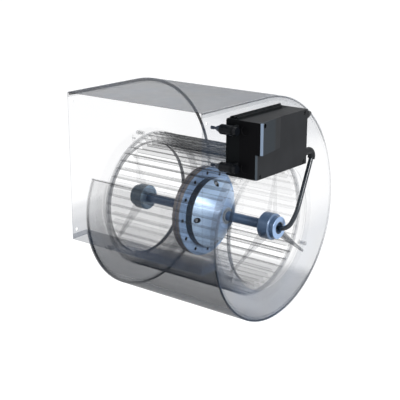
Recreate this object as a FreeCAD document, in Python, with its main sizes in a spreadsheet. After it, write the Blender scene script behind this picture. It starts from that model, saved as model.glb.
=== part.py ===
import FreeCAD, Part
import math
import os
import re
import Sketcher
from FreeCAD import Placement, Rotation, Vector

# Double-inlet centrifugal fan with an external-rotor motor, millimetres.
# The origin is on the shaft axis at the middle of the housing.
# X runs along the shaft towards the controller, the outlet faces -Y, Z is up.

doc = FreeCAD.newDocument("CentrifugalFan")
sheet = doc.addObject("Spreadsheet::Sheet", "Sizes")

driving = [
    # housing sheet work
    ("half_width", 165.5, "mid plane to the outside of a side plate"),
    ("sheet_wall", 1.2, "steel sheet of the housing"),
    ("outlet_reach", 214.6, "shaft axis to the outlet edge"),
    ("outlet_drop", 40.2, "outlet floor below the shaft axis"),
    ("scroll_clearance", 98.2, "wheel to the largest of the scroll arcs"),
    ("scroll_step", 16.3, "arc centres before and behind the axis"),
    ("scroll_rise", 13.4, "upper arc centres above the axis"),
    ("scroll_fall", 5.1, "lower arc centres below the axis"),
    ("tongue_shift", 30.0, "tongue arc centre forward of the front arc's"),
    ("tongue_turn", 28.4, "degrees that the tongue rises past the front"),
    ("rim_fold", 10.0, "edge of the scroll sheet turned in on the plates"),
    ("floor_lip", 11.0, "rear edge of the outlet floor turned up"),
    ("tongue_hem", 2.2, "radius of the rolled edge of the tongue"),
    ("inlet_inset", 26.6, "throat of the inlet rings inside the wheel's rim"),
    ("inlet_round", 9.4, "rolled mouth of the inlet rings"),
    ("inlet_lip", 5.5, "straight lip inside the throat"),
    ("inlet_flange", 21.0, "flat flange round the mouth"),
    # duct fixing holes
    ("duct_hole_inset", 11.5, "behind the outlet edge"),
    ("duct_hole_rise", 18.2, "lower holes above the outlet floor"),
    ("duct_hole_drop", 19.9, "upper holes below the top"),
    ("duct_hole_radius", 3.25, "radius"),
    # support arms
    ("arm_count", 3, "arms on each side"),
    ("arm_turn_left", 12.0, "first left arm from upright, degrees"),
    ("arm_turn_right", -5.5, "first right arm from upright, degrees"),
    ("arm_strip", 1.5, "strip that the arms are folded from"),
    ("arm_root_width", 13.0, "arm across at the collar"),
    ("arm_tip_width", 4.5, "arm across at its tip"),
    ("arm_fold_inset", 25.1, "meeting of an arm's legs inside the mouth"),
    ("arm_foot_reach", 14.9, "tip of an arm's foot outside the mouth"),
    ("arm_inner_inset", 9.0, "inner leg in from the collar's inner end"),
    ("arm_outer_inset", 1.0, "outer leg in from the collar's outer end"),
    ("arm_sink", 2.0, "legs cut to the collar from this far inside it"),
    # rivets, inlet ring screws and rubber nuts
    ("rivet_inset", 7.5, "arm rivets in from the tip of the foot"),
    ("rivet_shank", 1.6, "shank radius"),
    ("rivet_head", 2.3, "head radius"),
    ("rivet_crown", 1.4, "flat top of the head, radius"),
    ("rivet_tail", 2.1, "set end, radius"),
    ("rivet_rise", 1.3, "head and set end in height"),
    ("ring_screw_inset", 6.1, "inlet ring screws in from the flange's rim"),
    ("ring_screw_lead", 6.5, "inlet ring screws beside the arms, degrees"),
    ("ring_screw_shank", 2.5, "shank radius"),
    ("ring_screw_head", 4.6, "head radius"),
    ("ring_screw_rise", 3.0, "head in height"),
    ("ring_screw_socket", 2.3, "socket corner radius"),
    ("ring_screw_short", 3.0, "screw end inside the rubber nut's end"),
    ("rubber_nut_radius", 4.6, "rubber nuts"),
    ("rubber_nut_length", 11.5, "rubber nuts along the shaft"),
    # collars and bushes
    ("collar_radius", 26.5, "outside of the collars"),
    ("collar_inset", 16.5, "collars inside the outer face of the plates"),
    ("collar_length", 26.5, "collars along the shaft"),
    ("collar_chamfer", 3.2, "inner edge of a collar"),
    ("collar_wall", 7.5, "collar round its bush"),
    ("bush_set_in", 1.0, "bush ends inside the collar"),
    # fixed shaft and its nuts
    ("shaft_radius", 10.0, "outside of the shaft"),
    ("shaft_wall", 3.5, "shaft round its cable bore"),
    ("shaft_beyond", 2.5, "shaft ends beyond the collars"),
    ("shaft_chamfer", 1.0, "ends of the shaft"),
    ("nut_inset", 4.25, "nuts inside the collars' radius"),
    ("nut_length", 10.5, "nuts along the shaft"),
    ("nut_chamfer", 0.8, "outer edge of the nuts"),
    # wheel
    ("wheel_radius", 146.3, "outside of the end rings"),
    ("wheel_gap", 8.8, "inlet ring to the wheel, along the shaft"),
    ("ring_band", 10.4, "face of the end rings, radially"),
    ("ring_depth", 11.0, "end rings along the shaft"),
    ("ring_wall", 1.5, "sheet of the end rings"),
    ("blade_count", 48, "blades round the wheel"),
    ("blade_depth", 27.8, "inner edge of the blades inside the wheel's rim"),
    ("blade_tip_gap", 0.3, "blade tips inside the bands of the end rings"),
    ("blade_turn", 67.9, "degrees that a blade is rolled through"),
    ("blade_wall", 0.8, "sheet of the blades"),
    ("disc_wall", 1.5, "centre disc"),
    ("disc_inset", 6.3, "centre disc inside the wheel's rim"),
    # motor flanges and their bolts
    ("flange_ledge", 20.6, "motor flanges outside the can"),
    ("flange_half", 9.3, "mid plane to the face of a flange"),
    ("flange_chamfer", 0.8, "outer edge of the flanges"),
    ("bolt_ledge", 9.5, "flange bolts outside the can"),
    ("bolt_count", 12, "flange bolts"),
    ("bolt_turn", 0.5, "first flange bolt from upright, degrees"),
    ("bolt_shank", 2.0, "shank radius"),
    ("bolt_head", 3.5, "head radius"),
    ("bolt_rise", 2.4, "head in height"),
    ("bolt_socket", 1.7, "socket corner radius"),
    ("bolt_sink", 3.0, "heads sunk in the flange"),
    ("bolt_play", 0.4, "flange round the heads"),
    ("bolt_tail", 4.5, "bolt beyond the far flange"),
    ("bolt_nut", 4.0, "corner radius of the bolts' nuts"),
    ("bolt_nut_height", 3.2, "bolts' nuts"),
    # rotor can and end shields
    ("can_radius", 71.5, "outside of the rotor can"),
    ("can_wall", 14.5, "rotor can round the magnets"),
    ("can_half", 25.0, "mid plane to the end of the can"),
    ("dome_height", 33.0, "cone of an end shield along the shaft"),
    ("dome_margin", 10.5, "cone's small end outside the bearing"),
    ("dome_round", 2.0, "last step of an end shield along the shaft"),
    ("dome_step", 3.2, "last step of an end shield, radially"),
    ("shield_wall", 5.6, "end shield wall along the shaft"),
    ("shield_web", 8.0, "end shield at its hub along the shaft"),
    ("spigot_gap", 1.0, "end shield bore inside the can's"),
    ("shield_screw_inset", 5.5, "shield screws outside the can's bore"),
    ("shield_screw_count", 4, "shield screws on each side"),
    ("shield_screw_shank", 2.0, "shank radius"),
    ("shield_screw_head", 3.6, "head radius"),
    ("shield_screw_rise", 3.4, "head in height"),
    ("shield_screw_socket", 1.9, "socket corner radius"),
    ("shield_screw_bite", 6.5, "screws into the can"),
    ("shield_screw_spare", 1.5, "tapped holes beyond the screws"),
    ("shield_screw_play", 2.0, "wells round the screw heads"),
    ("shield_screw_floor", 2.6, "metal below the screw heads"),
    # bearings and hub caps
    ("bearing_section", 7.5, "bearings, radially"),
    ("bearing_width", 12.0, "bearings along the shaft"),
    ("bearing_fit", 0.05, "running clearance of the bearings on the shaft"),
    ("hub_shoulder", 2.0, "shoulder behind each bearing"),
    ("hub_opening", 3.0, "shoulder clear of the shaft"),
    ("hub_wall", 6.5, "wall round the bearings"),
    ("cap_inset", 3.5, "boss of a hub cap inside the bearing's radius"),
    ("cap_boss", 2.4, "boss of a hub cap proud of the shield"),
    ("cap_chamfer", 0.6, "edge of the boss"),
    ("cap_clearance", 0.6, "hub cap round the shaft"),
    # magnets and stator
    ("magnet_wall", 5.0, "magnets, radially"),
    ("magnet_count", 10, "magnets round the can"),
    ("magnet_gap", 3.0, "between magnets, degrees"),
    ("magnet_recess", 5.0, "magnets inside the can's ends"),
    ("air_gap", 0.7, "magnets to stator"),
    ("stator_recess", 7.0, "core inside the can's ends"),
    ("tooth_count", 12, "teeth of the stator"),
    ("tooth_width", 7.0, "teeth across"),
    ("tooth_head", 3.0, "heads of the teeth, radially"),
    ("slot_mouth", 4.0, "gap between two tooth heads"),
    ("coil_build", 3.0, "copper on each side of a tooth"),
    ("coil_clear", 3.2, "coils outside the radius where they would meet"),
    ("coil_seat", 3.5, "coils outside the core's hub"),
    ("coil_end", 4.0, "coils beyond the core along the shaft"),
    ("coil_head_gap", 1.0, "coils inside the tooth heads"),
    # controller base and circuit board
    ("box_clear", 0.9, "arm rivets to the controller base"),
    ("box_set_back", 66.6, "controller behind the outlet edge"),
    ("box_length", 162.0, "controller from front to rear"),
    ("box_hang", 123.4, "underside of the controller below the top"),
    ("box_height", 104.0, "controller in height"),
    ("base_depth", 24.8, "controller base along X"),
    ("box_wall", 3.0, "walls of base and cover"),
    ("rib_count", 3, "cooling ribs on the base"),
    ("rib_wall", 2.6, "cooling ribs"),
    ("rib_height", 4.0, "cooling ribs"),
    ("rib_start", 2.0, "first rib from the base's back"),
    ("rib_pitch", 7.3, "from rib to rib"),
    ("rib_inset", 3.0, "ribs in from the front and the rear"),
    ("rib_step", 9.0, "each rib shorter than the one before"),
    ("board_wall", 1.6, "circuit board"),
    ("board_rise", 12.0, "posts below the circuit board"),
    ("board_gap", 1.0, "board inside the front and rear walls"),
    ("board_inset", 12.0, "board inside the upper and lower walls"),
    ("board_post", 3.5, "posts, radius"),
    ("board_post_inset", 8.0, "posts inside the front and rear walls"),
    ("board_post_low", 20.0, "posts inside the upper and lower walls"),
    # controller cover and its screws
    ("cover_depth", 38.0, "controller cover along X"),
    ("cover_edge", 3.0, "bevelled front edge of the cover"),
    ("brow_rise", 11.5, "raised front corner of the cover"),
    ("brow_length", 73.0, "raised corner from the front to its end"),
    ("brow_height", 57.5, "raised corner below the cover's top"),
    ("brow_edge", 4.0, "bevelled front edge of the raised corner"),
    ("cover_screw_inset", 10.5, "screws from the front and the rear"),
    ("cover_screw_edge", 5.5, "screws from the upper and lower edges"),
    ("cover_screw_shank", 1.9, "shank radius"),
    ("cover_screw_head", 3.4, "head radius"),
    ("cover_screw_rise", 2.4, "head in height"),
    ("cover_screw_socket", 1.7, "socket corner radius"),
    ("cover_screw_bite", 8.0, "screws into the base"),
    ("cover_screw_play", 0.6, "wells round the screw heads"),
    ("cover_screw_well", 3.0, "depth of the wells"),
    ("pillar_wall", 1.6, "screw pillars outside the heads"),
    ("knockout_radius", 8.0, "cable knockouts in the cover's front"),
    ("knockout_inset", 12.5, "knockouts outside the base"),
    ("knockout_depth", 0.7, "knockouts sunk in the front"),
    # rubber buffers and their lugs
    ("buffer_radius", 9.2, "body of the rubber buffers"),
    ("buffer_clear", 2.8, "buffers off the ends of the controller"),
    ("buffer_rise", 18.0, "lower buffer above the underside"),
    ("buffer_drop", 17.5, "upper buffer below the controller's top"),
    ("buffer_rear", 62.0, "rear buffer above the underside"),
    ("buffer_neck", 6.0, "neck in the side plate, radius"),
    ("buffer_nose", 21.7, "nose inside the side plate"),
    ("buffer_flare", 8.0, "wide end of the nose, radius"),
    ("buffer_cone", 13.0, "taper of the nose along the shaft"),
    ("buffer_tail", 2.2, "thin part of the nose, radius"),
    ("buffer_knob", 3.0, "end of the nose, radius"),
    ("buffer_knob_length", 6.0, "end of the nose along the shaft"),
    ("buffer_head", 8.4, "head over the lug, radius"),
    ("buffer_head_length", 6.0, "head over the lug"),
    ("buffer_taper", 0.8, "head narrower at its end"),
    ("lug_wall", 4.0, "lugs of the controller base"),
    ("lug_back", 5.5, "lugs back from the joint of base and cover"),
    ("lug_bore", 5.0, "holes of the lugs"),
    # blank gland, cable boot and cable
    ("gland_inset", 19.5, "glands outside the base"),
    ("gland_rise", 14.5, "cable boot above the underside"),
    ("gland_drop", 16.0, "blank gland below the controller's top"),
    ("gland_rim", 1.5, "rims outside the gland and the boot"),
    ("gland_rim_length", 5.0, "rims along the gland and the boot"),
    ("gland_tail", 2.0, "gland and boot inside the cover's wall"),
    ("blank_radius", 9.0, "blank gland"),
    ("blank_length", 40.0, "blank gland off the cover"),
    ("blank_nose", 17.0, "taper of the blank gland"),
    ("blank_tip", 4.0, "tip of the blank gland, radius"),
    ("blank_round", 3.0, "tip of the blank gland along its axis"),
    ("boot_wall", 2.65, "cable boot round the cable"),
    ("boot_plug", 1.4, "boot round the cable inside the cover's wall"),
    ("boot_straight", 36.0, "boot before its elbow"),
    ("boot_turn", 114.5, "degrees that the elbow turns"),
    ("boot_crook", 4.75, "inside radius of the elbow"),
    ("cable_clearance", 1.9, "cable in the bore of the shaft"),
    ("cable_tail", 1.5, "cable inside the cover's wall"),
    ("cable_run", 110.4, "straight run of the cable below the boot"),
    ("cable_loop", 19.0, "turn of the cable beyond the nut"),
    ("cable_end", 60.0, "mid plane to the cable's end inside the shaft"),
]

for row, (alias, value, note) in enumerate(driving, 1):
    sheet.set("A%d" % row, alias)
    sheet.set("B%d" % row, str(value))
    sheet.setAlias("B%d" % row, alias)
    sheet.set("C%d" % row, note)
doc.recompute()

names = set(alias for alias, value, note in driving)

# Sizes that follow from the sheet, by name, as expressions
derived = {
    "cut_past": "1.0",
    "inner_face": "half_width - sheet_wall",
    "fold_face": "inner_face - sheet_wall",
    "scroll_radius": "wheel_radius + scroll_clearance",
    "scroll_top": "scroll_radius + scroll_rise",
    "rear_radius": "scroll_radius - 2 * scroll_step",
    "front_radius": "rear_radius - scroll_rise - scroll_fall",
    "tongue_radius": "front_radius - tongue_shift",
    "floor_line": "-outlet_drop",
    "lip_line": "floor_lip - outlet_drop",
    "duct_line": "duct_hole_inset - outlet_reach",
    "inlet_radius": "wheel_radius - inlet_inset",
    "mouth_radius": "inlet_radius + inlet_round",
    "inlet_rim": "mouth_radius + inlet_flange",
    "roll_face": "inner_face - inlet_round",
    "inlet_end": "roll_face - inlet_lip",
    "arm_fold_radius": "mouth_radius - arm_fold_inset",
    "arm_tip_radius": "mouth_radius + arm_foot_reach",
    "arm_face": "half_width + 2 * arm_strip",
    "rivet_circle": "arm_tip_radius - rivet_inset",
    "ring_screw_circle": "inlet_rim - ring_screw_inset",
    "collar_start": "half_width - collar_inset",
    "collar_end": "collar_start + collar_length",
    "leg_in": "collar_start + arm_inner_inset",
    "leg_out": "collar_end - arm_outer_inset",
    "leg_root": "collar_radius - arm_sink",
    "bush_radius": "collar_radius - collar_wall",
    "shaft_bore": "shaft_radius - shaft_wall",
    "shaft_end": "collar_end + shaft_beyond",
    "nut_radius": "collar_radius - nut_inset",
    "nut_end": "collar_end + nut_length",
    "wheel_half": "inlet_end - wheel_gap",
    "band_radius": "wheel_radius - ring_wall",
    "ring_bore": "wheel_radius - ring_band",
    "blade_inner": "wheel_radius - blade_depth",
    "blade_tip": "band_radius - blade_tip_gap",
    "disc_rim": "wheel_radius - disc_inset",
    "flange_radius": "can_radius + flange_ledge",
    "bolt_circle": "can_radius + bolt_ledge",
    "bolt_seat": "flange_half - bolt_sink",
    "can_bore": "can_radius - can_wall",
    "bearing_radius": "shaft_radius + bearing_section",
    "dome_top": "bearing_radius + dome_margin",
    "shield_top": "can_half + dome_height + dome_round",
    "shield_bore": "can_bore - spigot_gap",
    "shield_screw_circle": "can_bore + shield_screw_inset",
    "well_floor": "can_half + shield_screw_floor",
    "cone_slope": "(can_radius - dome_top) / dome_height",
    "web_face": "shield_top - shield_web",
    "web_radius": "can_radius - (web_face - can_half + shield_wall) * cone_slope",
    "shield_back": "can_half + (can_radius - shield_bore) / cone_slope - shield_wall",
    "seat_end": "shield_top - cap_boss",
    "seat_start": "seat_end - bearing_width",
    "hub_back": "seat_start - hub_shoulder",
    "hub_bore": "shaft_radius + hub_opening",
    "cap_radius": "bearing_radius - cap_inset",
    "magnet_half": "can_half - magnet_recess",
    "magnet_bore": "can_bore - magnet_wall",
    "stator_half": "can_half - stator_recess",
    "stator_radius": "magnet_bore - air_gap",
    "coil_out": "tooth_width / 2 + coil_build",
    "coil_low": "coil_out / tan(180 / tooth_count * 1 deg) + coil_clear",
    "coil_high": "stator_radius - tooth_head - coil_head_gap",
    "stator_hub": "coil_low - coil_seat",
    "box_front": "box_set_back - outlet_reach",
    "box_rear": "box_front + box_length",
    "box_bottom": "scroll_top - box_hang",
    "box_top": "box_bottom + box_height",
    "base_face": "arm_face + rivet_rise + box_clear",
    "base_floor": "base_face + 2 * box_wall",
    "split_face": "base_face + base_depth",
    "cover_face": "split_face + cover_depth",
    "brow_face": "cover_face + brow_rise",
    "brow_bottom": "box_top - brow_height",
    "board_face": "base_floor + board_rise",
    "pillar_radius": "cover_screw_head + pillar_wall",
    "cover_seat": "cover_face - cover_screw_well",
    "buffer_ahead": "buffer_radius + buffer_clear",
    "lug_face": "split_face - lug_back",
    "lug_end": "lug_face + lug_wall",
    "buffer_low": "box_bottom + buffer_rise",
    "buffer_high": "box_top - buffer_drop",
    "nose_tip": "inner_face - buffer_nose",
    "gland_axis": "split_face + gland_inset",
    "gland_low": "box_bottom + gland_rise",
    "gland_high": "box_top - gland_drop",
    "cable_radius": "shaft_bore - cable_clearance",
    "boot_radius": "cable_radius + boot_wall",
    "boot_bend": "boot_radius + boot_crook",
    "gland_hole": "cable_radius + boot_plug",
    "gland_depth": "box_wall + gland_tail",
}


def bound(text):
    """Write an expression in terms of the spreadsheet's cells."""
    text = str(text)
    while any(word in derived for word in re.findall("[a-z_]+", text)):
        text = re.sub("[a-z_]+", lambda m: "(%s)" % derived[m[0]] if m[0] in derived else m[0], text)
    return re.sub("[a-z_]+", lambda m: "Sizes." + m[0] if m[0] in names else m[0], text)


def number(text):
    """Work out an expression from the spreadsheet's cells."""
    return float(sheet.evalExpression(bound(text)))


nodes = []


def node(feature, name):
    """Give a finished sub-part the name of its file."""
    feature.Label = name
    nodes.append(feature)
    return feature


def bind(feature, **properties):
    for prop, text in properties.items():
        feature.setExpression(prop.replace("__", "."), bound(text))
    return feature


def origin_plane(body, role):
    for feature in body.Origin.OriginFeatures:
        if feature.Role == role:
            return feature
    raise RuntimeError("no plane " + role)


def loop(sketch, corners, tag):
    """Draw a closed outline. A corner is (x, y), or (x, y, kept) where kept
    names the coordinates to hold, and after it may come an arc's centre."""
    points = []
    for corner in corners:
        points.append(Vector(number(corner[0]), number(corner[1]), 0))
    first = sketch.GeometryCount
    ends = []
    for i, corner in enumerate(corners):
        start = points[i]
        stop = points[(i + 1) % len(points)]
        centre = corner[3] if len(corner) > 3 else None
        if centre is None:
            sketch.addGeometry(Part.LineSegment(start, stop), False)
            ends.append((1, 2))
            continue
        middle = Vector(number(centre[0]), number(centre[1]), 0)
        angle_a = math.atan2(start.y - middle.y, start.x - middle.x)
        angle_b = math.atan2(stop.y - middle.y, stop.x - middle.x)
        circle = Part.Circle(middle, Vector(0, 0, 1), (start - middle).Length)
        if centre[2] == "left":
            if angle_b < angle_a:
                angle_b += 2 * math.pi
            sketch.addGeometry(Part.ArcOfCircle(circle, angle_a, angle_b), False)
            ends.append((1, 2))
        else:
            if angle_a < angle_b:
                angle_a += 2 * math.pi
            sketch.addGeometry(Part.ArcOfCircle(circle, angle_b, angle_a), False)
            ends.append((2, 1))
    for i, corner in enumerate(corners):
        item = first + i
        after = first + (i + 1) % len(corners)
        begin, end = ends[i]
        sketch.addConstraint(Sketcher.Constraint("Coincident", item, end, after,
                                                 ends[(i + 1) % len(corners)][0]))
        kept = corner[2] if len(corner) > 2 else "xy"
        if "x" in kept:
            hold(sketch, "DistanceX", item, begin, points[i].x, corner[0], "%sx%d" % (tag, i))
        if "y" in kept:
            hold(sketch, "DistanceY", item, begin, points[i].y, corner[1], "%sy%d" % (tag, i))
        centre = corner[3] if len(corner) > 3 else None
        if centre is not None:
            hold(sketch, "DistanceX", item, 3, number(centre[0]), centre[0], "%su%d" % (tag, i))
            hold(sketch, "DistanceY", item, 3, number(centre[1]), centre[1], "%sv%d" % (tag, i))


def hold(sketch, kind, item, point, value, text, label):
    index = sketch.addConstraint(Sketcher.Constraint(kind, -1, 1, item, point, value))
    sketch.renameConstraint(index, label)
    sketch.setExpression("Constraints." + label, bound(text))


def ring(sketch, radius, tag, x="0", y="0"):
    """Draw a circle held by its centre and radius."""
    centre = Vector(number(x), number(y), 0)
    item = sketch.addGeometry(Part.Circle(centre, Vector(0, 0, 1), number(radius)), False)
    hold(sketch, "DistanceX", item, 3, number(x), x, tag + "u")
    hold(sketch, "DistanceY", item, 3, number(y), y, tag + "v")
    index = sketch.addConstraint(Sketcher.Constraint("Radius", item, number(radius)))
    sketch.renameConstraint(index, tag + "r")
    sketch.setExpression("Constraints." + tag + "r", bound(radius))


def drawing(body, name, role, offset=None):
    sketch = body.newObject("Sketcher::SketchObject", name)
    sketch.AttachmentSupport = [(origin_plane(body, role), "")]
    sketch.MapMode = "FlatFace"
    if offset is not None:
        sketch.setExpression("AttachmentOffset.Base.z", bound(offset))
    return sketch


def pad(body, sketch, name, length):
    feature = body.newObject("PartDesign::Pad", name)
    feature.Profile = sketch
    feature.setExpression("Length", bound(length))
    body.Tip = feature
    return feature


def turned(name, profile):
    """Turn a profile of (x, radius) corners about the shaft axis."""
    body = doc.addObject("PartDesign::Body", name + "_body")
    sketch = drawing(body, name + "_profile", "XY_Plane")
    loop(sketch, profile, "p")
    feature = body.newObject("PartDesign::Revolution", name + "_turn")
    feature.Profile = sketch
    feature.ReferenceAxis = (sketch, ["H_Axis"])
    feature.Angle = 360
    body.Tip = feature
    return body


def mirrored(feature, name):
    """Mirror a piece to the other side of the mid plane."""
    copy = doc.addObject("Part::Mirroring", name + "_mirror")
    copy.Source = feature
    copy.Base = Vector(0, 0, 0)
    copy.Normal = Vector(1, 0, 0)
    return copy


def rod(name, radius, start, length, y="0", z="0"):
    """A cylinder along +X."""
    feature = doc.addObject("Part::Cylinder", name)
    feature.Placement = Placement(Vector(0, 0, 0), Rotation(Vector(0, 1, 0), 90))
    bind(feature, Radius=radius, Height=length)
    bind(feature, Placement__Base__x=start, Placement__Base__y=y, Placement__Base__z=z)
    return feature


def post(name, radius, start, length, x, z):
    """A cylinder along +Y."""
    feature = doc.addObject("Part::Cylinder", name)
    feature.Placement = Placement(Vector(0, 0, 0), Rotation(Vector(1, 0, 0), -90))
    bind(feature, Radius=radius, Height=length)
    bind(feature, Placement__Base__x=x, Placement__Base__y=start, Placement__Base__z=z)
    return feature


def block(name, x, y, z, length, width, height):
    feature = doc.addObject("Part::Box", name)
    bind(feature, Length=length, Width=width, Height=height)
    bind(feature, Placement__Base__x=x, Placement__Base__y=y, Placement__Base__z=z)
    return feature


def cut(name, base, tool):
    feature = doc.addObject("Part::Cut", name)
    feature.Base = base
    feature.Tool = tool
    return feature


def joined(name, pieces):
    feature = doc.addObject("Part::MultiFuse", name)
    feature.Shapes = pieces
    return feature


def shaped(name, shape):
    """A piece whose shape is worked out here from the sheet's values."""
    feature = doc.addObject("Part::Feature", name)
    feature.Shape = shape
    return feature


def bar(radius, start, end, circle="0"):
    """A round bar along +X between two places, upright above the shaft axis."""
    return Part.makeCylinder(number(radius), number("(%s) - (%s)" % (end, start)),
                             Vector(number(start), 0, number(circle)), Vector(1, 0, 0))


def hexagon(radius, start, length):
    """A hexagonal bar along +X."""
    corners = []
    for i in range(7):
        angle = math.radians(60 * i)
        corners.append(Vector(start, radius * math.cos(angle), radius * math.sin(angle)))
    return Part.Face(Part.makePolygon(corners)).extrude(Vector(length, 0, 0))


def screw(kind, length):
    """A socket screw with its head's underside at X 0 and its head towards +X."""
    rise = number(kind + "_rise")
    head = bar(kind + "_head", "0", kind + "_rise")
    shank = bar(kind + "_shank", "-(%s)" % length, "0")
    return head.fuse(shank).cut(hexagon(number(kind + "_socket"), rise / 2, rise))


def around(shape, count, first="0"):
    """Copies of a shape, evenly spaced about the shaft axis."""
    total = int(number(count))
    copies = []
    for i in range(total):
        copy = shape.copy()
        copy.rotate(Vector(0, 0, 0), Vector(1, 0, 0), number(first) + 360.0 * i / total)
        copies.append(copy)
    return Part.makeCompound(copies)


def placed(shape, x, y, z):
    copy = shape.copy()
    copy.translate(Vector(number(x), number(y), number(z)))
    return copy


# Scroll outline, shared by the side plates, the scroll sheet and its folds
def scroll_corners(inset):
    """Corners of the scroll, inset from its outside, from the outlet's top
    edge round the rear and the bottom to the foot of the tongue arc."""
    above = "scroll_top - (%s)" % inset
    return [
        ("-outlet_reach", above),
        ("-scroll_step", above, "xy", ("-scroll_step", "scroll_rise", "right")),
        ("scroll_radius - scroll_step - (%s)" % inset, "scroll_rise", "y",
         ("scroll_step", "scroll_rise", "right")),
        ("scroll_step", "scroll_rise - rear_radius + (%s)" % inset, "x",
         ("scroll_step", "-scroll_fall", "right")),
        ("scroll_step - front_radius + (%s)" % inset, "-scroll_fall", "y"),
    ]


def front_at(height, outside="0"):
    """Where the front arc of the scroll stands at a height, as an expression."""
    return "scroll_step - sqrt((front_radius + %s) ^ 2 - (%s + scroll_fall) ^ 2)" % (outside, height)


arm_total = int(number("arm_count"))
buffer_places = [
    ("front_upper", "box_front - buffer_ahead", "buffer_high"),
    ("front_lower", "box_front - buffer_ahead", "buffer_low"),
    ("rear", "box_rear + buffer_ahead", "box_bottom + buffer_rear"),
]


def drills(name, side, start, length):
    """Tools for the holes round an inlet: one rivet and one screw at each arm.
    The left side has the same arms turned round, so its screws lead the other way."""
    tools = []
    lead = "ring_screw_lead" if side == "right" else "-ring_screw_lead"
    for i in range(arm_total):
        arm = "arm_turn_%s + %d * 360 / arm_count" % (side, i)
        for kind, angle, circle, radius in (("rivet", arm, "rivet_circle", "rivet_shank"),
                                            ("screw", arm + " + " + lead, "ring_screw_circle",
                                             "ring_screw_shank")):
            tool = rod("%s_%s_%d" % (name, kind, i), radius, start, length)
            bind(tool, Placement__Base__y="-%s * sin((%s) * 1 deg)" % (circle, angle),
                 Placement__Base__z="%s * cos((%s) * 1 deg)" % (circle, angle))
            tools.append(tool)
    return tools


# Side plates
def side_plate(side):
    name = "side_plate_" + side
    start = "inner_face" if side == "right" else "-half_width"
    body = doc.addObject("PartDesign::Body", name + "_body")
    sketch = drawing(body, name + "_outline", "YZ_Plane", start)
    corners = scroll_corners("0")[:4]
    corners.append((front_at("floor_line"), "floor_line", "y"))
    corners.append(("-outlet_reach", "floor_line"))
    loop(sketch, corners, "o")
    ring(sketch, "mouth_radius", "inlet")
    pad(body, sketch, name + "_pad", "sheet_wall")
    start += " - cut_past"
    through = "sheet_wall + 2 * cut_past"
    tools = drills(name, side, start, through)
    for place, height in (("low", "duct_hole_rise - outlet_drop"), ("high", "scroll_top - duct_hole_drop")):
        tools.append(rod("%s_duct_%s" % (name, place), "duct_hole_radius", start, through,
                         "duct_line", height))
    if side == "right":
        for place, y, z in buffer_places:
            tools.append(rod("%s_%s" % (name, place), "buffer_neck", start, through, y, z))
    return node(cut(name, body, joined(name + "_holes", tools)), name)


side_plate("left")
side_plate("right")


# Scroll sheet with its edges turned in and the tongue's rolled edge
def tongue_point(inset):
    radius = "(tongue_radius - %s)" % inset
    return ("scroll_step - tongue_shift - %s * cos(tongue_turn * 1 deg)" % radius,
            "%s * sin(tongue_turn * 1 deg) - scroll_fall" % radius)


def strip_corners(inner):
    """Outline of a strip that follows the scroll from its outside to an inset."""
    centre = ("scroll_step - tongue_shift", "-scroll_fall")
    there = scroll_corners("0")
    there[4] = there[4] + ((centre[0], centre[1], "right"),)
    tip = tongue_point("0")
    there.append((tip[0], tip[1], "y"))
    back = scroll_corners(inner)
    start = tongue_point(inner)
    home = [(start[0], start[1], "xy", (centre[0], centre[1], "left"))]
    arcs = [None, ("-scroll_step", "scroll_rise"), ("scroll_step", "scroll_rise"),
            ("scroll_step", "-scroll_fall")]
    kept = {4: "y", 3: "x", 2: "y", 1: "x"}
    for i in (4, 3, 2, 1):
        corner = back[i]
        arc = arcs[i - 1]
        if arc is None:
            home.append((corner[0], corner[1], kept[i]))
        else:
            home.append((corner[0], corner[1], kept[i], (arc[0], arc[1], "left")))
    home.append(back[0])
    return there + home


wrap = doc.addObject("PartDesign::Body", "scroll_sheet")
wrap_sketch = drawing(wrap, "scroll_web", "YZ_Plane", "-inner_face")
loop(wrap_sketch, strip_corners("sheet_wall"), "w")
pad(wrap, wrap_sketch, "scroll_web_pad", "2 * inner_face")
for side, start in (("left", "-inner_face"), ("right", "fold_face")):
    fold_sketch = drawing(wrap, "scroll_fold_" + side, "YZ_Plane", start)
    loop(fold_sketch, strip_corners("rim_fold"), "f")
    pad(wrap, fold_sketch, "scroll_fold_pad_" + side, "sheet_wall")
hem_point = tongue_point("sheet_wall / 2")
hem = rod("tongue_hem_rod", "tongue_hem", "-inner_face", "2 * inner_face", hem_point[0], hem_point[1])
node(joined("scroll_wrap", [wrap, hem]), "scroll_wrap")

# Outlet floor, with its rear edge turned up against the scroll
floor_body = doc.addObject("PartDesign::Body", "floor_body")
floor_sketch = drawing(floor_body, "outlet_floor_profile", "YZ_Plane", "-inner_face")
loop(floor_sketch, [
    ("-outlet_reach", "floor_line"),
    (front_at("floor_line"), "floor_line", "xy", ("scroll_step", "-scroll_fall", "right")),
    (front_at("lip_line"), "lip_line", "y"),
    (front_at("lip_line", "sheet_wall"), "lip_line", "xy", ("scroll_step", "-scroll_fall", "left")),
    (front_at("(sheet_wall - outlet_drop)", "sheet_wall"), "sheet_wall - outlet_drop", "y"),
    ("-outlet_reach", "sheet_wall - outlet_drop"),
], "f")
pad(floor_body, floor_sketch, "outlet_floor_pad", "2 * inner_face")
floor_parts = [floor_body]
flange_length = "outlet_reach - sheet_wall + " + front_at("floor_line", "sheet_wall")
for side, start in (("left", "-inner_face"), ("right", "fold_face")):
    floor_parts.append(block("floor_flange_" + side, start, "-outlet_reach", "sheet_wall - outlet_drop",
                             "sheet_wall", flange_length, "rim_fold"))
node(joined("outlet_floor_sheet", floor_parts), "outlet_floor")

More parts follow.
